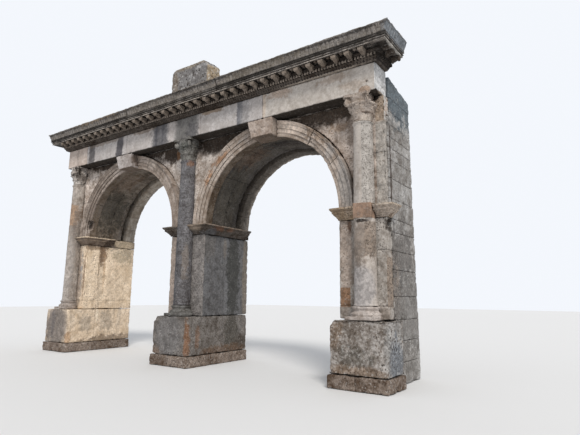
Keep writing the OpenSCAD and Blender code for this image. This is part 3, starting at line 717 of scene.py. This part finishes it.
def arch_ring(side, centre_x, stones, flaked=None, holed=None, **looks):
    """A ring of stones, given by their first and last degrees. One may be flaked or holed."""
    node, centre = side + "_archivolt", (centre_x, 0, spring_z)
    steps_per_degree, longest_edge, reveal = 1.5, 0.026, 0.012
    voussoirs = []
    for number, (start, end) in enumerate(stones):
        turn = math.radians(start)
        outline = template(node, centre, (-math.sin(turn), 0, math.cos(turn)))
        stone = refined(outline, longest_edge)
        sweep = dict(steps=int((end - start) * steps_per_degree), angle=math.radians(end - start),
                     center=centre, axis=(0, 1, 0))
        shape(stone, ("spin", sweep), ("remove_doubles", {"threshold": 0.0001}),
              ("normals_make_consistent", {}))
        x, y, z = rows(stone).T
        away = np.hypot(x - centre_x, z - spring_z)
        # Painted shade: thin dark lines in the inner corners where the flat bands step out.
        step_shade_lines = np.any([(np.abs(away - radius) < 0.004) & (np.abs(y - level) < 0.004)
                        for radius, level in band_edges], axis=0)
        eat(stone, 0.4, 0.006)
        eat(stone, 0.09, 0.004, contrast=3.0, level=0.6)
        if number == flaked:
            eat(stone, 0.13, 0.035, contrast=2.0, level=0.9)
        if number == holed:
            hole = np.hypot((y - 0.03) / 0.1, (z - 3.8) / 0.15) < 1
            pushed(stone, hole & (away < 1.99), (-0.06, 0.03, 0))
        voussoirs.append(toned(stone, marked=step_shade_lines * 0.6))
    piece = laid(voussoirs, side + "_arch_ring", node, "warm_limestone", dirt=0.7, **looks)
    bpy.ops.object.shade_smooth_by_angle(angle=math.radians(34))
    # The ring's underside takes a darker stone: partly smoke, partly painted shade.
    smoke_and_shade = ((centre_x, 0.1, 4.6), (0.9, 0.2, 0.9), (84, 74, 64), 0.5)
    piece.data.materials.append(limestone(side + " smoked and shaded soffit limestone", (98, 86, 74),
                                          pits=0.4, stains=[smoke_and_shade, beam_hole]))
    x, y, z = rows(piece).T
    inner = np.hypot(x - centre_x, z - spring_z) < arch_r + 0.022
    chosen(piece, inner & (y > reveal))
    piece.active_material_index = 1
    bpy.ops.object.material_slot_assign()
    enter("OBJECT")


arch_ring("left", -arch_x, ((0.3, 31), (31.2, 48), (48.2, 80.8), (99.2, 114.5), (114.7, 148),
                            (148.2, 179.7)), holed=5, colour=(152, 140, 131), spread=28, stains=[
    ((-4.15, -0.08, 4.4), (0.35, 0.14, 1.0), (118, 106, 97), 0.85, 0.5, 0.35),
    ((-3.55, -0.08, 5.3), (0.5, 0.14, 0.3), (122, 111, 102), 0.7, 0.6, -0.7),
    beam_hole,
    ((-1.2, -0.1, 5.3), (0.6, 0.1, 0.3), (116, 108, 100), 0.5, 0.7),
])
arch_ring("right", arch_x, ((0.3, 30), (30.2, 53.5), (53.7, 80.8), (99.2, 121), (121.2, 150),
                            (150.2, 179.7)), flaked=1, colour=(160, 148, 138), spread=28,
          streaks=0.25, pits=0.7, stains=[
    ((0.74, -0.09, 4.62), (0.09, 0.06, 0.36), (156, 116, 84), 0.8, 0.5, 0.55),
    ((1.16, -0.09, 5.06), (0.09, 0.06, 0.36), (156, 116, 84), 0.8, 0.5, 0.95),
    ((1.78, -0.09, 5.33), (0.42, 0.05, 0.12), (176, 172, 170), 0.75, 0.4, -0.45),
    # Painted light over the ring's top, where the frieze casts a shadow.
    ((2.98, -0.09, 5.46), (0.6, 0.14, 0.2), (216, 200, 186), 0.9, 0.4, 0.25),
    ((3.95, -0.1, 5.2), (0.36, 0.12, 0.24), (142, 122, 104), 0.7, 0.8, 0.7, False, 1.0),
    ((4.2, -0.06, 4.7), (0.14, 0.1, 0.24), (160, 154, 149), 0.7, 0.4, 0.5),
    ((4.62, -0.08, 4.0), (0.26, 0.14, 0.66), (140, 135, 131), 0.85, 0.4, 0, False, 0.1),
])

# Keystones. A plain wedge of warm stone in front of each ring, leaning out to meet the architrave,
# with dowel holes of lost ornaments in its front.


def rod(middle, radius, depth, sides=12):
    """A round rod along Y to drill with."""
    bpy.ops.object.select_all(action="DESELECT")
    bpy.ops.mesh.primitive_cylinder_add(vertices=sides, radius=radius, depth=depth, location=middle,
                                        rotation=(math.pi / 2, 0, 0))
    return bpy.context.active_object


for side, x, colour, holes in (
        ("left", -arch_x, (170, 163, 160), ((-2.6, 5.53), (-2.42, 5.5), (-2.58, 5.4))),
        ("right", arch_x, (167, 153, 143), ((2.55, 5.5), (2.32, 5.44)))):
    node = side + "_keystone"
    stone = worked(quarried(node), voxel=0.015, chip=0.016)
    carve(stone, [rod((hole_x, -0.25, z), 0.018, 0.12) for hole_x, z in holes])
    laid([stone], side + "_key_wedge", node, "warm_limestone", colour=colour, spread=22,
         streaks=0.15, stains=[
        # The underside is painted dark like the ring's soffit: partly smoke, partly painted shade.
        ((x, 0.0, 5.3), (0.5, 0.4, 0.035), (92, 78, 66), 0.9, 0.3),
        # Painted shade on the right side face of the left keystone.
        ((-arch_x + 0.36, 0.0, 5.5), (0.08, 0.3, 0.3), (96, 80, 68), 0.8, 0.4),
        ((arch_x + 0.36, -0.12, 5.5), (0.1, 0.1, 0.3), (172, 160, 150), 0.7, 0.4),
    ])

# Vaults. Barrel vaults of long blocks behind each ring, darkened by damp, with the slot at the back
# where the portcullis ran painted near black as shade.


def radial(centre_x, degrees):
    """A joint of an arch, on a plane through its axis."""
    turn = math.radians(degrees)
    return np.array((-math.sin(turn), 0.0, math.cos(turn))), np.array((centre_x, 0.0, spring_z)), {}


for side, centre_x, colour in (("left", -arch_x, (96, 86, 75)), ("right", arch_x, (56, 51, 46))):
    node = side + "_vault"
    seams = [seam("y", 0.74)] + [radial(centre_x, degrees) for degrees in (27, 58, 84, 112, 141)]
    stone = worked(quarried(node), seams, voxel=0.03, soften=1, dent=0.02, chip=0.024, keep=0.5,
                   deep=0.016, gap=0.01)
    laid([stone], side + "_barrel_vault", node, "brown_limestone", colour=colour, spread=34,
         speckle=0.9, salt=0.07, crust=(24, 20, 17), stains=[
        ((centre_x - 1.6, 0.7, 4.3), (0.5, 0.6, 0.9), (76, 72, 65), 0.7, 0.7),
        ((centre_x - 0.8, 0.5, 5.1), (0.6, 0.5, 0.3), (112, 94, 80), 0.5, 0.9),
        # Painted shade: the near-black band of the portcullis slot at the back.
        ((centre_x, 1.29, 4.4), (2.4, 0.085, 1.6), (20, 17, 15), 0.95, 0.05, 0, True),
        ((centre_x + 0.3, 0.9, 5.3), (0.5, 0.4, 0.2), (66, 58, 52), 0.7, 0.8),
        ((centre_x + 1.5, 0.7, 4.6), (0.5, 0.6, 0.6), (92, 78, 66), 0.6, 0.8),
        ((centre_x, 0.42, 4.4), (2.2, 0.07, 1.5), (96, 89, 80), 0.5, 1.0),
        ((centre_x, 0.98, 4.4), (2.2, 0.08, 1.5), (90, 84, 76), 0.5, 1.0),
    ])

# Rear arches. The back of the gate is plain ashlar over a lower arch of wedge-shaped stones, which
# closed the passage behind the portcullis.

course_tops = (3.86, 4.3, 4.76, 5.2, 5.6, 6.2)
courses = list(zip(course_tops, course_tops[1:]))
for side, way in (("left", -1), ("right", 1)):
    node, centre_x = side + "_rear_arch", arch_x * way
    wall = quarried(node)
    ring = copied(wall)
    carve(ring, [rod((centre_x, 1.5, spring_z), 2.355, 2.0, 96)], "INTERSECT")
    carve(wall, [rod((centre_x, 1.5, spring_z), 2.36, 2.0, 96)])
    wedges = [radial(centre_x, degrees) for degrees in range(12, 180, 13)]
    seams = [seam("z", z) for z in course_tops[:-1]]
    for start, breaks in enumerate(((0.9, 2.3, 4.3), (0.35, 1.5, 3.3))):
        seams += [seam("x", x * way, z=courses[start::2]) for x in breaks]
    stones = [worked(block, joints, voxel=0.028, soften=1)
              for block, joints in ((ring, wedges), (wall, seams))]
    laid(stones, side + "_rear_arch_stones", node, "grey_limestone", colour=(150, 141, 130),
         streaks=0.4, pits=0.6, stains=[
        ((arch_x, 1.4, 4.4), (2.9, 0.29, 2.6), (80, 74, 68), 0.92, 0.2),
    ])

# Spandrels. The facing between the rings and the architrave, set back a little, with a plain strip
# behind each column. Under the cornice it is crusted black, with painted shade over the crust, and
# below it has flaked.


def spandrel(side, seams, **looks):
    node = side + "_spandrel"
    stone = worked(quarried(node), seams, voxel=0.018, soften=1, dent=0.014, chip=0.022,
                   grit=0.016, keep=0.4)
    laid([stone], side + "_spandrel_facing", node, "pale_limestone", spread=38, pits=0.6,
         pit_size=0.06, speckle=1.1, salt=0.07, **looks)


spandrel("left", [seam("z", 4.55, x=[(-6, -4.3)])], colour=(186, 175, 167), stains=[
    # Black crust and painted shade under the architrave.
    ((-3.75, 0.05, 5.68), (1.0, 0.2, 0.2), black_crust, 0.95, 0.35),
    ((-1.9, 0.05, 5.7), (0.8, 0.2, 0.3), black_crust, 0.95, 0.35),
    ((-4.1, 0.05, 5.25), (0.4, 0.1, 0.2), (124, 110, 98), 0.6, 0.8),
    ((-4.45, 0.0, 4.5), (0.2, 0.2, 0.1), (70, 58, 48)),
])
spandrel("middle", [seam("z", 4.5, x=[(-0.5, 0.5)])], colour=(179, 170, 163), stains=[
    # Black crust and painted shade under the architrave.
    ((-1.9, 0.05, 5.7), (0.9, 0.2, 0.26), black_crust, 0.95, 0.4),
    ((-0.8, 0.05, 5.55), (0.5, 0.2, 0.34), black_crust, 0.95, 0.35),
    ((-0.56, 0.02, 5.5), (0.06, 0.2, 0.26), (132, 98, 72), 0.8, 0.8),
    ((0.38, -0.02, 5.45), (0.07, 0.05, 0.3), (176, 168, 160), 0.9, 0.3),
    # Black crust and painted shade under the architrave.
    ((1.0, 0.08, 5.62), (0.95, 0.2, 0.42), (49, 39, 31), 0.97, 0.3),
    ((0.7, 0.08, 4.95), (0.3, 0.1, 0.3), (172, 160, 150), 0.5, 0.6),
])
spandrel("right", [seam("z", 4.5, x=[(4.4, 6)])], colour=(170, 157, 147), stains=[
    # Black crust and painted shade under the architrave.
    ((4.1, 0.08, 5.66), (1.0, 0.2, 0.34), (64, 53, 44), 0.95, 0.35),
    ((4.35, 0.07, 5.2), (0.3, 0.1, 0.1), (146, 122, 100), 0.5, 1.2),
    ((4.66, 0.05, 5.0), (0.12, 0.1, 0.3), (132, 119, 109), 0.6, 0.8),
    ((5.36, -0.02, 4.29), (0.12, 0.15, 0.86), (156, 151, 145), 0.9, 0.12, 0, True, 0.15),
    ((5.34, -0.04, 5.42), (0.1, 0.1, 0.27), (144, 128, 112), 0.85, 0.2, 0, True, 0.4),
    ((5.48, 0.1, 5.42), (0.05, 0.4, 0.27), (164, 161, 157), 0.9, 0.1, 0, True, 0.2),
    ((5.25, 0.0, 5.66), (0.1, 0.14, 0.07), (40, 34, 30), 0.95, 0.3),
    ((5.48, 0.19, 4.2), (0.09, 0.08, 1.05), (58, 46, 38), 0.9, 0.4),
])

# Architrave and frieze. One height of long smooth blocks that span from column to column. Rain has
# washed them pale, except where water runs off the cornice and leaves grey upright streaks.


def frieze_block(place, slot, colour, stains):
    node = "frieze_" + place
    stone = worked(quarried(node), voxel=0.022, soften=1, dent=0.008, chip=0.01)
    if place == "right_end":
        carve(stone, [rod((5.21, -0.3, 5.91), 0.022, 0.1),
                      boulder((5.39, -0.08, 6.03), (0.04, 0.02, 0.02), 7),
                      boulder((5.39, 0.1, 5.87), (0.04, 0.024, 0.024), 8)])
    laid([stone], node + "_block", node, slot, colour=colour, spread=18, streaks=0.15,
         streak_width=0.1, pits=0.4, speckle=0.35, stains=stains + [underside_shade, pale_corner])


run_grey, front = (84, 82, 86), -0.3
# Painted shade: the underside of the architrave is painted dark.
underside_shade = ((0.0, -0.1, 5.655), (9.0, 0.19, 0.068), (46, 39, 33), 0.97, 0.05, 0, True)
pale_corner = ((5.43, -0.02, 5.69), (0.07, 0.2, 0.05), (146, 134, 121), 0.85, 0.2)
frieze_block("left_end", "warm_limestone", (199, 186, 177), [
    ((-4.86, front, 6.0), (0.06, 0.2, 0.5), (156, 144, 136), 0.6),
])
frieze_block("left", "pale_limestone", (176, 171, 169), [
    ((-4.12, front, 6.0), (0.17, 0.3, 1.2), (94, 91, 92), 0.9, 0.35),
    ((-2.72, front, 6.0), (0.16, 0.3, 1.6), run_grey, 0.95, 0.3, 0.05),
    ((-3.4, front, 6.24), (0.9, 0.3, 0.08), (132, 120, 110), 0.7, 0.7),
])
frieze_block("middle", "grey_limestone", (176, 170, 167), [
    ((-0.95, front, 6.0), (0.34, 0.3, 1.8), (97, 96, 99), 0.9, 0.3),
    ((-1.1, front, 6.0), (0.05, 0.3, 1.6), (80, 79, 83), 0.8, 0.4),
    ((-0.84, front, 6.0), (0.05, 0.3, 1.6), (84, 83, 86), 0.7, 0.4),
    ((0.08, front, 6.0), (0.44, 0.4, 1.8), (108, 106, 104), 0.95, 0.06, 0.12),
    ((0.3, front, 5.8), (0.22, 0.3, 0.3), (92, 90, 92), 0.7, 0.5, 0.12),
    ((-1.7, front, 6.24), (0.5, 0.3, 0.06), (130, 114, 100), 0.7, 0.7),
])
frieze_block("right", "pale_limestone", (181, 176, 174), [
    ((1.9, front, 6.0), (0.09, 0.3, 1.4), (110, 110, 115), 0.9, 0.25),
    ((2.05, front, 6.0), (0.14, 0.3, 1.4), (150, 148, 148), 0.6, 0.4),
    ((1.0, front, 6.25), (0.45, 0.3, 0.09), (136, 117, 98), 0.8, 0.7),
])
frieze_block("right_end", "warm_limestone", (182, 175, 168), [
    ((2.62, front, 6.0), (0.07, 0.3, 0.5), (190, 172, 154), 0.6, 0.4),
    ((3.05, front, 6.2), (0.34, 0.3, 0.12), (166, 138, 116), 0.5, 0.9),
    ((4.45, front, 6.16), (0.3, 0.3, 0.1), (160, 136, 116), 0.4, 1.1),
    ((4.9, front, 5.9), (0.3, 0.3, 0.1), (160, 142, 126), 0.4, 0.9),
    ((5.42, 0.0, 5.98), (0.045, 0.45, 0.6), (190, 190, 190), 0.95, 0.1, 0, True),
])

# Bed moulding. A row of dentils under a quarter round, carved on one course and crusted nearly
# black by lichen and smoke where no rain washes it. Only the dentils' faces are worn pale.

dentil_pitch, side_shift = 0.07, 0.228
stone = worked(quarried("bed_moulding"), voxel=0.012, soften=0, dent=0.003, chip=0.006, grit=0.004,
               keep=0.4)
x, y, z = rows(stone).T
along = np.where(np.abs(x) > 5.5, y - side_shift, x) / dentil_pitch
gap = np.abs((along + 0.5) % 1 - 0.5) * dentil_pitch > 0.019
gap &= (z > 6.325) & (z < 6.41) & ((y < -0.4) | (np.abs(x) > 5.49))
egg = (z > 6.285) & (z < 6.325) & (along % 1 < 0.35)
pushed(stone, egg & (y < -0.34), (0, 0.012, 0))
# The gaps between the dentils and the recesses by the eggs are painted dark: crust and painted
# shade.
written(stone, "joint", np.maximum(gap * 1.0, egg * 0.8))
laid([stone], "dentil_course", "bed_moulding", "black_crusted_limestone", colour=(70, 62, 55),
     spread=26, crust=(24, 20, 17), streaks=0.2, dirt=1.0, speckle=0.6, pits=0.7, salt=0.1, stains=[
    ((0, -0.462, 6.365), (9, 0.022, 0.06), (156, 144, 133), 0.85, 0.6),
    ((0, -0.4, 6.45), (9, 0.2, 0.035), (40, 34, 30), 0.85),
    ((4.2, -0.35, 6.28), (1.1, 0.1, 0.014), (160, 150, 140), 0.85),
    ((5.62, -0.2, 6.37), (0.22, 0.6, 0.12), (38, 33, 29), 0.85),
])

# Modillions. Short brackets with an S-shaped underside that seem to carry the cornice, narrower at
# their feet than at the soffit. Their fronts and sides are worn pale.

modillion_pitch = 0.3
bracket = quarried("modillions")
trim(bracket, (0.25, 0, 0), (1, 0, 0))
trim(bracket, (0.05, 0, 0), (1, 0, 0), keep_below=False)
bracket = worked(bracket, voxel=0.01, soften=1, dent=0.0, chip=0.0, keep=0.5)
brackets = []
for number in range(-18, 18):
    block = copied(bracket, (number * modillion_pitch, 0, 0))
    brackets.append(toned(eat(block, 0.06, 0.008, contrast=2.0, level=0.8)))
bpy.data.objects.remove(bracket)
for way in (-1, 1):
    block = trim(quarried("modillions"), (5.5 * way, 0, 0), (-way, 0, 0))
    brackets.append(worked(block, voxel=0.01, soften=1, dent=0.006, chip=0.008, keep=0.5))
laid(brackets, "cornice_brackets", "modillions", "black_crusted_limestone", colour=(84, 74, 66),
     spread=26, streaks=0.1, dirt=1.0, crust=(30, 25, 21), stains=[
    ((0, -0.62, 6.41), (9, 0.14, 0.09), (131, 120, 109), 0.75, 0.9),
    ((5.62, -0.1, 6.4), (0.3, 0.6, 0.1), (52, 45, 39), 0.7, 0.6),
])

# Cornice. Long blocks with hollows in the soffit, three thin fillets and a tall gutter moulding
# that is carved with upright tongues. Its top edge is chipped and black with lichen.


def sliced(piece, axis, first, last, step=0.025):
    """Scores the whole piece across at even steps, so that its mouldings can be carved."""
    facing = np.array([float(name == axis) for name in "xyz"])
    return shape(piece, *(("bisect", dict(plane_co=facing * at, plane_no=facing))
                          for at in np.arange(first, last, step)))


tongue, groove, gutter_low, gutter_high = 0.1, 0.012, 6.605, 6.758
for node in ("cornice_left", "cornice_middle", "cornice_right"):
    low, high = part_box(node)
    returned = node != "cornice_middle"
    block = sliced(quarried(node), "x", low[0] + 0.02, high[0])
    if returned:
        sliced(block, "y", low[1] + 0.02, high[1])
    x, y, z = rows(block).T
    gutter = (z > gutter_low) & (z < gutter_high)
    recess = (y < -0.6) & gutter & ((x / tongue) % 1 < 0.4)
    pushed(block, recess, (0, groove, 0))
    if returned:
        for way in (-1, 1):
            side_recess = (x * way > 5.7) & gutter & ((y / tongue) % 1 < 0.4)
            pushed(block, side_recess, (-groove * way, 0, 0))
            recess |= side_recess
    eat(block, 0.5, 0.01)
    eat(block, 0.12, 0.014, contrast=3.0, level=0.62)
    eat(block, 0.04, 0.006)
    # The recesses between the tongues are marked for painted shade.
    laid([toned(block, marked=recess * 0.35)], node + "_block", node, "black_crusted_limestone",
         colour=(99, 93, 88), spread=46, crust=(40, 36, 33), streaks=0.55, streak_width=0.05,
         soot=(50, 49, 50), speckle=1.1, dirt=0.55, salt=0.12, stains=[
        ((0, -0.77, 6.74), (9, 0.1, 0.028), (60, 57, 55), 0.8, 0.7),
        ((0, -0.7, 6.655), (9, 0.1, 0.035), (136, 129, 121), 0.65, 1.3),
        # Painted shade: a dark band below the gutter, where the corona's shade falls.
        ((0, -0.7, 6.56), (9, 0.1, 0.035), (72, 68, 63), 0.7, 0.7),
        # Painted shade and crust on the cornice's underside, above the brackets.
        ((0, -0.5, 6.466), (9, 0.19, 0.025), (30, 26, 22), 0.95, 0.1),
        ((0, -0.72, 6.488), (9, 0.05, 0.027), (176, 167, 157), 0.9),
        ((-3.3, -0.79, 6.77), (1.1, 0.07, 0.05), (152, 136, 118), 0.7, 1.5),
        ((-0.9, -0.76, 6.72), (0.9, 0.09, 0.06), (128, 121, 113), 0.6, 1.5),
        ((2.8, -0.76, 6.7), (1.2, 0.09, 0.07), (124, 115, 104), 0.6, 1.5),
        ((0, -0.79, 6.8), (9, 0.05, 0.022), (128, 119, 107), 0.6, 0.8),
        ((5.85, -0.2, 6.68), (0.15, 0.9, 0.13), (124, 130, 136), 0.85),
        ((5.8, -0.2, 6.488), (0.08, 0.7, 0.026), (184, 180, 174), 0.85, 0.4),
    ])
    bpy.ops.object.shade_smooth_by_angle(angle=math.radians(45))

# Flowers in the soffit. A round flower of eight petals is carved in each hollow between the
# modillions, and most are worn to a knob.

bpy.ops.object.select_all(action="DESELECT")
bpy.ops.mesh.primitive_uv_sphere_add(segments=16, ring_count=6, radius=0.058, location=(0, 0, 0))
flower = trim(bpy.context.active_object, (0, 0, 0.02), (0, 0, 1))
x, y, z = rows(flower).T
between_petals = (z > -0.045) & (np.round(np.arctan2(y, x) / math.pi * 8) % 2 == 0)
squeezed(flower, between_petals, (0.72, 0.72, 1), (0, 0, 0))
shape(flower, ("normals_make_consistent", {}))
finish(flower, "SMOOTH", factor=0.4, iterations=1)
lost_flower = 5
piece = joined([copied(flower, (number * modillion_pitch, -0.59, 6.512))
                for number in range(-17, 18) if number != lost_flower], "soffit_flowers")
bpy.data.objects.remove(flower)
bpy.ops.object.shade_smooth()
piece.data.materials.append(limestone("soffit flower limestone", (104, 95, 87), 30, streaks=0.0,
                                      dirt=0.0))
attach(piece, "root")

# Attic block. The only block left of the attic, over the middle column, grey and spotted with
# lichen on its front and washed cream on its right side.

block = quarried("attic_block")
trim(block, (0.66, -0.2, 7.66), (0.75, -0.1, 0.65))
trim(block, (-0.6, -0.2, 7.8), (-0.6, -0.1, 0.8))
stone = worked(block, voxel=0.022, dent=0.02, chip=0.02)
carve(stone, [rod((0.34, -0.2, 7.58), 0.035, 0.12), rod((0.05, -0.2, 7.3), 0.02, 0.1)])
laid([stone], "attic_stone", "attic_block", "grey_limestone", colour=(106, 104, 104), spread=34,
     pits=1.0, pit_size=0.08, speckle=1.6, grit_size=0.1, salt=0.35, stains=[
    ((0.72, 0.05, 7.3), (0.1, 0.5, 0.7), (156, 141, 120), 0.95, 0.3),
    ((-0.6, -0.2, 7.3), (0.16, 0.1, 0.6), (126, 114, 100), 0.6, 0.7),
    ((0.0, -0.2, 7.8), (0.9, 0.2, 0.08), (146, 134, 118), 0.6, 0.8),
])

# Flank walls. The ends of the gate, of plain ashlar in uneven courses behind an open crack. The
# stones are rough below, and bluish grey near the top.

flank_tops = (0.42, 0.83, 1.235, 1.68, 2.19, 2.56, 2.93, 3.2, 3.6, 4.01, 4.395, 4.65, 4.87, 5.15,
              5.42, 5.72)
courses = list(zip((0.0,) + flank_tops, flank_tops))
for side, way in (("left", -1), ("right", 1)):
    node = side + "_flank"
    seams = [seam("z", z) for z in flank_tops]
    seams += [seam("y", y, z=courses[start::3]) for start, y in enumerate((0.8, 1.12, 0.62))]
    stone = worked(quarried(node), seams, soften=1, chip=0.02, grit=0.008, keep=0.5, deep=0.022,
                   gap=0.011)
    x = 5.45 * way
    laid([stone], side + "_flank_wall", node, "pale_limestone", colour=(141, 139, 137), spread=32,
         pits=0.7, speckle=0.8, dirt=0.5, stains=[
        ((x, 0.9, 6.2), (0.4, 1.5, 0.95), (88, 98, 105), 0.9),
        ((x, 0.265, 4.2), (0.1, 0.04, 1.0), (58, 46, 38), 0.9, 0.4),
        ((x, 0.42, 1.9), (0.3, 0.22, 0.8), (118, 107, 98), 0.8, 0.6, 0, False, 1.0),
        ((x, 0.75, 2.55), (0.3, 0.6, 0.62), (105, 101, 98), 0.85, 0.7),
        ((x, 1.0, 1.4), (0.3, 1.0, 0.9), (110, 107, 104), 0.7, 0.6),
        ((x, 0.8, 0.4), (0.3, 1.0, 0.4), (112, 108, 104), 0.6, 0.6),
    ])

# Camera, lights and floor. The camera stands where the photographer stood, at eye height on the
# street by the right pier, and the light is the soft light of a bright studio.

pitch, yaw, roll = 0.1699, -0.6021, 0.0093
focal_pixels, photo_width, sensor = 464.2281, 580, 36.0
camera = added("camera", bpy.data.cameras.new("camera"))
camera.location = (8.8758, -8.2732, 1.65)
camera.data.sensor_width = sensor
camera.data.lens = focal_pixels / photo_width * sensor
camera.rotation_euler = (Matrix.Rotation(-yaw, 3, "Z")
                         @ Matrix.Rotation(math.pi / 2 + pitch, 3, "X")
                         @ Matrix.Rotation(roll, 3, "Z")).to_euler()
bpy.context.scene.camera = camera

bpy.ops.mesh.primitive_plane_add(size=120, location=(0, 10, -0.002))
floor = bpy.context.active_object
floor.name = "floor"
paving = bpy.data.materials.new("pale floor")
paving.use_nodes = True
shader = paving.node_tree.nodes["Principled BSDF"]
shader.inputs["Base Color"].default_value = rgb(219, 219, 219)
shader.inputs["Roughness"].default_value = 0.9
floor.data.materials.append(paving)

world = bpy.data.worlds.new("studio")
bpy.context.scene.world = world
world.use_nodes = True
Wire.tree = world.node_tree
sky = world.node_tree.nodes["Background"]
sky.inputs["Color"].default_value = (0.92, 0.95, 1.0, 1.0)
seen, glossy = (Wire.node("LightPath", output=ray) for ray in (0, 3))
world.node_tree.links.new((0.68 + (seen + glossy) * 0.3).socket, sky.inputs["Strength"])
lamp = added("window light", bpy.data.lights.new("window light", "SUN"))
lamp.data.energy = 2.4
lamp.data.angle = math.radians(18)
lamp.data.color = (1.0, 0.96, 0.9)
lamp.rotation_euler = (math.radians(48), 0, math.radians(45))
bpy.context.scene.view_settings.view_transform = "Standard"
